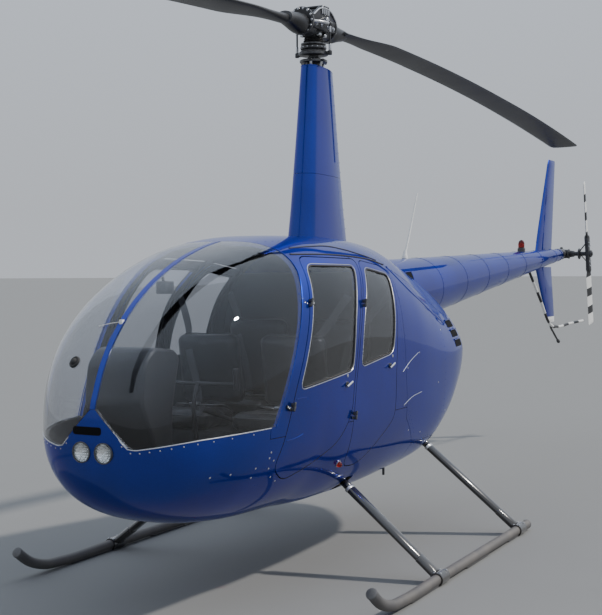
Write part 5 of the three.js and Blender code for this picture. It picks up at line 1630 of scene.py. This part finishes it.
for x in np.arange(-0.95, -0.28, 0.025):
    if abs((x + 0.61) % 0.34 - 0.17) > 0.03:
        engine.append(block((x, -0.328, 0.78), (x + 0.010, 0.328, 0.96), 0.002, 0.002))
put("engine_case", engine, engine_metal, stands_for="engine_block")

# %% [markdown]
# Two landing lights look out of the nose behind clear lenses, each a ribbed lens over a bowl mirror with a
# bulb. The position lights on the flanks are small teardrops of red and green glass.
# %% Lamps
lamp_rims, lenses, bowls = [], [], []
for y in (-LAMP_Y, LAMP_Y):
    at = [LAMP_X, y, LAMP_Z]
    lamp_rims.append(hoop([[-0.03, 0.0445], [-0.03, 0.0495], [0.0195, 0.0495], [0.0215, 0.048],
                           [0.0215, 0.045], [0.016, 0.0442]], at, AHEAD, 48))
    reach = np.linspace(0, 1, 12)[:, None]
    inside = np.hstack([-0.014 + 0.024 * reach**2, 0.001 + 0.0428 * reach])
    bowls.append(hoop(np.concatenate([inside, inside[::-1] + [-0.002, 0.0003]]), at, AHEAD, 48))
    bowls.append(lathe([[-0.016, 0.006], [-0.004, 0.007], [0.002, 0.005], [0.004, 0.002]], at, AHEAD, 16))
    lens = [[0.0125, 0.0438], [0.0165, 0.0435], [0.0195, 0.030], [0.0205, 0.012]]
    lenses.append(lathe(lens, at, AHEAD, 40))
    for rib in range(-3, 4):
        z = LAMP_Z + rib * 0.0115
        half = np.sqrt(0.042**2 - (rib * 0.0115) ** 2) * 0.92
        rib_middle = np.array([LAMP_X + 0.0165, y, z])
        lenses.append(rounded_rod(rib_middle - half * PORT, rib_middle + half * PORT, 0.0022, 0.001, 8))
put("landing_light_rims", lamp_rims, black_paint, stands_for="landing_lights")
put("landing_light_bowls", bowls, mirror_metal)
put("landing_light_lenses", lenses, lamp_glass)
nav_at, nav_out = shell_point(0.896, 0.662)
for word, side in SIDES.items():
    flip = np.array([1, side, 1])
    base = lathe([[-0.006, 0.02], [0.003, 0.021], [0.005, 0.017]], nav_at * flip, nav_out * flip, 32)
    bulb_profile = [[0.004, 0.0155], [0.012, 0.0155], [0.020, 0.012], [0.025, 0.006]]
    bulb = lathe(bulb_profile, nav_at * flip, nav_out * flip, 32)
    put(f"position_light_base_{word}", base, bare_metal)
    put(f"position_light_{word}", bulb, red_lens if word == "left" else green_lens,
        stands_for=f"nav_light_{word}")

# %% [markdown]
# Each door hangs on two outside hinges. One strap is bolted to the door and one to the post, and their
# knuckles share a pin. The latch is worked by a short lever on a round boss, with a key lock above it.
# %% Door hinges and handles
# The upper and lower pin as x and z, and how far the post's strap reaches forward
HINGES = {"front": ([1.262, 1.556], [1.530, 1.045], 0.040), "rear": ([0.645, 1.540], [0.841, 0.935], 0.008)}
HINGE_OUT, KNUCKLE = 0.020, 0.006
HANDLES = {"front": (0.930, 1.098, 0.922, 1.144), "rear": (0.330, 1.158, 0.288, 1.212)}


def strap_leaf(back, front, low, high, skin):
    """A hinge strap on the skin, and the lug that rises from it to the pin."""
    return [block((back, skin - 0.003, low), (front, skin + 0.0035, high), 0.0015, 0.004),
            block((-0.006, skin - 0.003, low), (0.005, 0.004, high), 0.0015, 0.003)]


for place, (high, low, post_reach) in HINGES.items():
    on_door, on_post, door_screws, post_screws = [], [], [], []
    pins = np.array([[x, float(shell_y(x, z)) + HINGE_OUT, z] for x, z in (high, low)])
    up = unit(pins[0] - pins[1])
    for pin, (x, z) in zip(pins, (high, low)):
        normal = shell_point(x, z)[1]
        out = unit(normal - up * (normal @ up))
        stand = Matrix.Translation(pin) @ Matrix((np.cross(out, up), out, up)).transposed().to_4x4()
        skin = -HINGE_OUT * normal[1]
        leaf = strap_leaf(-0.042, 0.0, -0.008, 0.008, skin)
        leaf.append(rounded_rod([0, 0, -0.012], [0, 0, 0.012], KNUCKLE))
        post = strap_leaf(-0.006, post_reach, -0.034, -0.018, skin)
        post.append(rounded_rod([0, 0, -0.036], [0, 0, -0.0123], KNUCKLE))
        on_door.append(turned(joined(leaf), stand))
        on_post.append(turned(joined(post), stand))
        screw_y = skin + 0.003
        screws = domes([[-0.033, screw_y, 0], [-0.018, screw_y, 0]], PORT, 0.0045, 0.0025)
        door_screws.append(turned(screws, stand))
        if post_reach > 0.02:
            screws = domes([[0.016, screw_y, -0.026], [0.031, screw_y, -0.026]], PORT, 0.0045, 0.0025)
            post_screws.append(turned(screws, stand))
    x, z, lock_x, lock_z = HANDLES[place]
    boss_at, boss_out = shell_point(x, z)
    lever = shell_point(np.linspace(x + 0.030, x - 0.036, 9), np.linspace(z - 0.010, z + 0.012, 9), 0.016)[0]
    boss = [[-0.002, 0.017], [0.005, 0.016], [0.007, 0.010], [0.014, 0.008]]
    on_door.append(lathe(boss, boss_at, boss_out, 28))
    lock_at, lock_out = shell_point(lock_x, lock_z)
    lock = lathe([[-0.002, 0.009], [0.002, 0.009], [0.0035, 0.006]], lock_at, lock_out, 20)
    door_metal = door_screws + [tube(lever, 0.0062, 12), lock]
    for word, side in SIDES.items():
        body = f"door_{place}_{word}_leaf"
        put(f"door_hinges_{place}_{word}", all_on_side(on_door, side), black_paint, body)
        put(f"door_handle_{place}_{word}", all_on_side(door_metal, side), bare_metal, body)
        put(f"post_hinges_{place}_{word}", all_on_side(on_post, side), black_paint)
        if post_screws:
            put(f"post_screws_{place}_{word}", all_on_side(post_screws, side), bare_metal)

# %% [markdown]
# A thin metal bead runs round each window and along the windshield's lower edge, and one in the blue paint
# along its aft edge. The metal beads' bright colour is a painted highlight, the light line along the edge of
# the glass.
# The lower edge is drawn from the front, so x is looked up on the shell for each y and z.
# %% Beads round the glass
BEAD = [[-0.0022, -0.003], [-0.0022, 0.001], [-0.001, 0.002], [0.001, 0.002], [0.0022, 0.001],
        [0.0022, -0.003]]


def nose_x(y, z):
    """x of the skin ahead of the doors at a height, where it is y from the middle."""
    along_x = np.linspace(1.2, 2.345, 600)
    return float(np.interp(y, shell_y(along_x, np.full(600, z))[::-1], along_x[::-1]))


for place, (_, window) in DOORS.items():
    # The bead's bare metal is a painted highlight, the light line round the window's glass.
    bead_highlight = rim(rounded(grown(window, 0.0075), 10), BEAD)
    for word, side in SIDES.items():
        put(f"window_bead_highlight_{place}_{word}", on_side(bead_highlight, side), bare_metal, f"door_{place}_{word}_leaf")
sill_y = np.linspace(0.060, 0.585, 40)
sill_z = np.interp(sill_y, [0.0155, 0.180, 0.215, 0.300, 0.447, 0.591],
                   [1.072, 0.902, 0.896, 0.908, 0.933, 0.949])
sill_highlight = np.array([[nose_x(y, z - 0.004), y, z - 0.004] for y, z in zip(sill_y, sill_z)])
post_edge = curve([[1.662, 0.945], [1.480, 1.280], [1.305, 1.590], [1.220, 1.735], [1.192, 1.820]], 50)
post_bead = shell_point(post_edge[:, 0] - 0.003, post_edge[:, 1], 0.001)[0]
# The sill bead's bare metal is a painted highlight; the post bead is in the blue paint.
for name, path, paint in (("sill_highlight", sill_highlight, bare_metal), ("post", post_bead, blue_paint)):
    put(f"windshield_bead_{name}", both(tube(path, 0.003, 8)), paint)

# %% [markdown]
# Rain rails run over the doors and along the roof's edge, a doubler covers the joint between the roof and the
# side cowl, and thin lips mark small inspection panels on the cowl and on the front doors. The cowl's lips
# are bright bare metal, a painted highlight along the panels' edges.
# %% Rails, doublers and lips
rails = [strip_on_skin([[1.150, 1.794], [0.833, 1.796], [0.500, 1.788], [0.260, 1.772], [0.045, 1.742]],
                       0.010, 0.005),
         strip_on_skin([[1.081, 1.828], [0.880, 1.840], [0.630, 1.843], [0.475, 1.826], [0.319, 1.801],
                        [0.131, 1.769]], 0.008, 0.004)]
put("rain_rails", both(*rails), rubber)
doubler = strip_on_skin([[0.000, 1.728], [-0.096, 1.662], [-0.234, 1.585], [-0.411, 1.522],
                         [-0.640, 1.440], [-0.900, 1.365]], 0.024, 0.004, 60)
put("cowl_doublers", both(doubler), blue_paint)
LIPS = [[[0.125, 1.108], [0.009, 1.161], [-0.137, 1.207]], [[0.089, 0.909], [-0.034, 0.944], [-0.199, 0.962]],
        [[1.557, 0.866], [1.470, 0.871], [1.405, 0.884]], [[1.482, 1.066], [1.430, 1.069], [1.384, 1.068]]]
cowl_lip_highlights = [strip_on_skin(path, 0.004, 0.0025, 24) for path in LIPS[:2]]
door_lips = [strip_on_skin(path, 0.004, 0.002, 24) for path in LIPS[2:]]
# Bare metal on the cowl's lips: a painted highlight.
put("cowl_lip_highlights", both(*cowl_lip_highlights), bare_metal)
for word, side in SIDES.items():
    put(f"door_lips_{word}", all_on_side(door_lips, side), blue_paint, f"door_front_{word}_leaf")

# %% [markdown]
# The openings are thin near-black sheets that follow the skin: painted shade for an air slot in the nose and
# for cooling louvres high at the back of the cowl. Each louvre has a painted hood over its upper edge.
# %% Slots and louvres
raised, sunk = shell_solid(-0.0015), shell_solid(0.002)


def skin_patch(cutter):
    """The part of a thin sheet on the skin inside a cutter."""
    return carve(raised, cutter, [sunk])


LOUVRES = [(-1.070, 1.345), (-1.095, 1.280), (-1.120, 1.215)]
louvre_shade_sheets, hoods = [], []
for x, z in LOUVRES:
    louvre_shade_sheets.append(skin_patch(port_prism(rectangle(x - 0.15, z - 0.022, x + 0.10, z + 0.022, 0.012))))
    hood_path = [[x + 0.10, z + 0.024], [x - 0.02, z + 0.026], [x - 0.15, z + 0.024]]
    hoods.append(strip_on_skin(hood_path, 0.012, 0.008, 24))
nose_slot_shade_sheet = skin_patch(front_prism(rectangle(-0.110, 0.955, 0.050, 0.993, 0.016), 1.9, 2.6))
# The slots and louvres are dark sheets on the skin: painted shade.
put("skin_slot_shades", both(*louvre_shade_sheets) + [nose_slot_shade_sheet], opening_painted_shade)
put("louvre_hoods", both(*hoods), blue_paint)

# %% [markdown]
# Rows of flush rivets follow the seams, and brighter screws hold the fairings that come off. A row's
# places are spaced evenly along its path on the skin.
# %% Rivets and screws
def spaced(path, gap):
    """Evenly spaced [x, z] points along a path of straight runs."""
    path = np.asarray(path, float)
    run = run_of(path)
    at = np.linspace(0, run[-1], max(2, int(run[-1] / gap) + 1))
    return np.stack([np.interp(at, run, path[:, i]) for i in (0, 1)], -1)


RIVET_ROWS = [
    [[1.690, 0.880], [1.690, 0.660]], [[1.712, 0.880], [1.712, 0.660]],
    [[0.110, 1.100], [0.125, 1.372], [0.108, 1.560], [0.060, 1.700]],
    [[0.052, 1.100], [0.070, 1.372], [0.052, 1.570], [0.008, 1.710]],
    [[0.030, 0.870], [-0.190, 0.655]], [[-0.010, 0.860], [-0.240, 0.655]],
    [[-0.260, 0.655], [-1.480, 0.655]], [[-0.240, 0.625], [-1.480, 0.625]],
    [[1.680, 0.960], [1.500, 1.270], [1.320, 1.590]],
    [[0.000, 1.752], [-0.200, 1.640], [-0.600, 1.470], [-1.000, 1.360]],
    [[1.150, 1.862], [0.700, 1.885], [0.300, 1.862]],
    [[-0.700, 0.700], [-0.700, 1.300]], [[-1.480, 0.700], [-1.480, 1.230]],
]
SCREWS = [
    [1.674, 0.822], [1.678, 0.794], [1.636, 0.777], [1.660, 0.740], [1.612, 0.691], [1.548, 0.661],
    [1.767, 0.754], [1.776, 0.709], [1.930, 0.744], [2.045, 0.743], [0.043, 1.125], [-0.158, 1.206],
    [-0.056, 0.739], [-0.536, 0.994], [-0.792, 0.787], [0.089, 0.906], [-0.300, 0.700], [-0.700, 1.320],
]
row_points = np.concatenate([spaced(path, 0.042) for path in RIVET_ROWS])
rivet_at, rivet_out = shell_point(row_points[:, 0], row_points[:, 1])
rivets = domes(rivet_at, rivet_out, 0.0032, 0.0012, 6)
put("skin_rivets", both(rivets), blue_paint)
screw_at, screw_out = shell_point(*np.array(SCREWS).T)
sill_low = np.array([[nose_x(y, z - 0.020), y, z - 0.020] for y, z in zip(sill_y[4::3], sill_z[4::3])])
screws = [domes(screw_at, screw_out, 0.0055, 0.0022, 10),
          domes(sill_low, sill_low - [1.55, 0, 1.1], 0.004, 0.0018)]
put("skin_screws", both(*screws), bare_metal)

# %% [markdown]
# A strand of wool is taped to the windshield, where the pilot reads the airflow from it, and a vent knob
# sits in the starboard sheet. The compass hangs under the strip.
# %% Wool strand, vent and compass
strand = curve([[2.118, 0.004, 1.468], [2.130, -0.045, 1.461], [2.132, -0.090, 1.452],
                [2.126, -0.121, 1.446]], 24)
put("wool_strand", [tube(strand, 0.0016, 8),
                    block((2.098, -0.008, 1.455), (2.122, 0.010, 1.478), 0.002, 0.003)], white_paint)
vent_at, vent_out = shell_point(2.246, 1.280, 0.001)
vent_at, vent_out = vent_at * [1, -1, 1], vent_out * [1, -1, 1]
put("vent_knob", [lathe([[-0.004, 0.030], [0.004, 0.030], [0.007, 0.026], [0.005, 0.018], [0.012, 0.014],
                         [0.016, 0.008]], vent_at, vent_out, 32)], rubber)

compass = [block((1.686, -0.034, 1.592), (1.764, 0.034, 1.655), 0.006, 0.016),
           rounded_rod([1.735, 0, 1.650], [1.755, 0, 1.694], 0.007)]
put("compass_case", compass, cabin_plastic)
put("compass_card", [lathe([[0, 0.024], [0.002, 0.024], [0.004, 0.018]], [1.6865, 0, 1.622], -AHEAD, 28)],
    white_paint)

# %% [markdown]
# Where the cone meets the cowl, a cooling slot opens on each side, drawn as a near-black sheet that is
# painted shade. Its sheet and the bead round it lie on the cone, so they are worked out from x and the angle
# round it. A short drain hangs under each side of the belly.
# %% Cone slots and drains
# The angles where the slot begins and ends, up from port, and x of its fore and aft edges at each
SLOT_ENDS, FORE_X, AFT_X = np.radians([14.5, 41]), (-1.000, -1.034), (-1.101, -1.162)
slot_rows = []
for angle in np.linspace(*SLOT_ENDS, 20):
    fore, aft = np.interp(angle, SLOT_ENDS, FORE_X), np.interp(angle, SLOT_ENDS, AFT_X)
    slot_rows.append(on_cone([fore, aft, aft, fore], angle, np.array([0.0016, 0.0016, -0.003, -0.003]))[0])
corner_x = [FORE_X[1], AFT_X[1], AFT_X[0], FORE_X[0], FORE_X[1]]
corner_angle = SLOT_ENDS[[1, 1, 0, 0, 1]]
edge_share = np.arange(49) / 12
edge_path = on_cone(*(np.interp(edge_share, range(5), row) for row in (corner_x, corner_angle)), 0.0015)[0]
cone_slot_shade_sheet, slot_edge = loft(slot_rows), tube(edge_path, 0.0035, 8, (1, 0.3, 0.2))
# The slot sheets are near-black: painted shade.
put("cone_slot_shades", both(cone_slot_shade_sheet), opening_painted_shade)
put("cone_slot_edges", both(slot_edge), blue_paint)
drain = rounded_rod([-0.197, 0.380, 0.500], [-0.196, 0.380, 0.432], 0.008, 0.002, 20)
put("belly_drains", both(drain), black_paint)
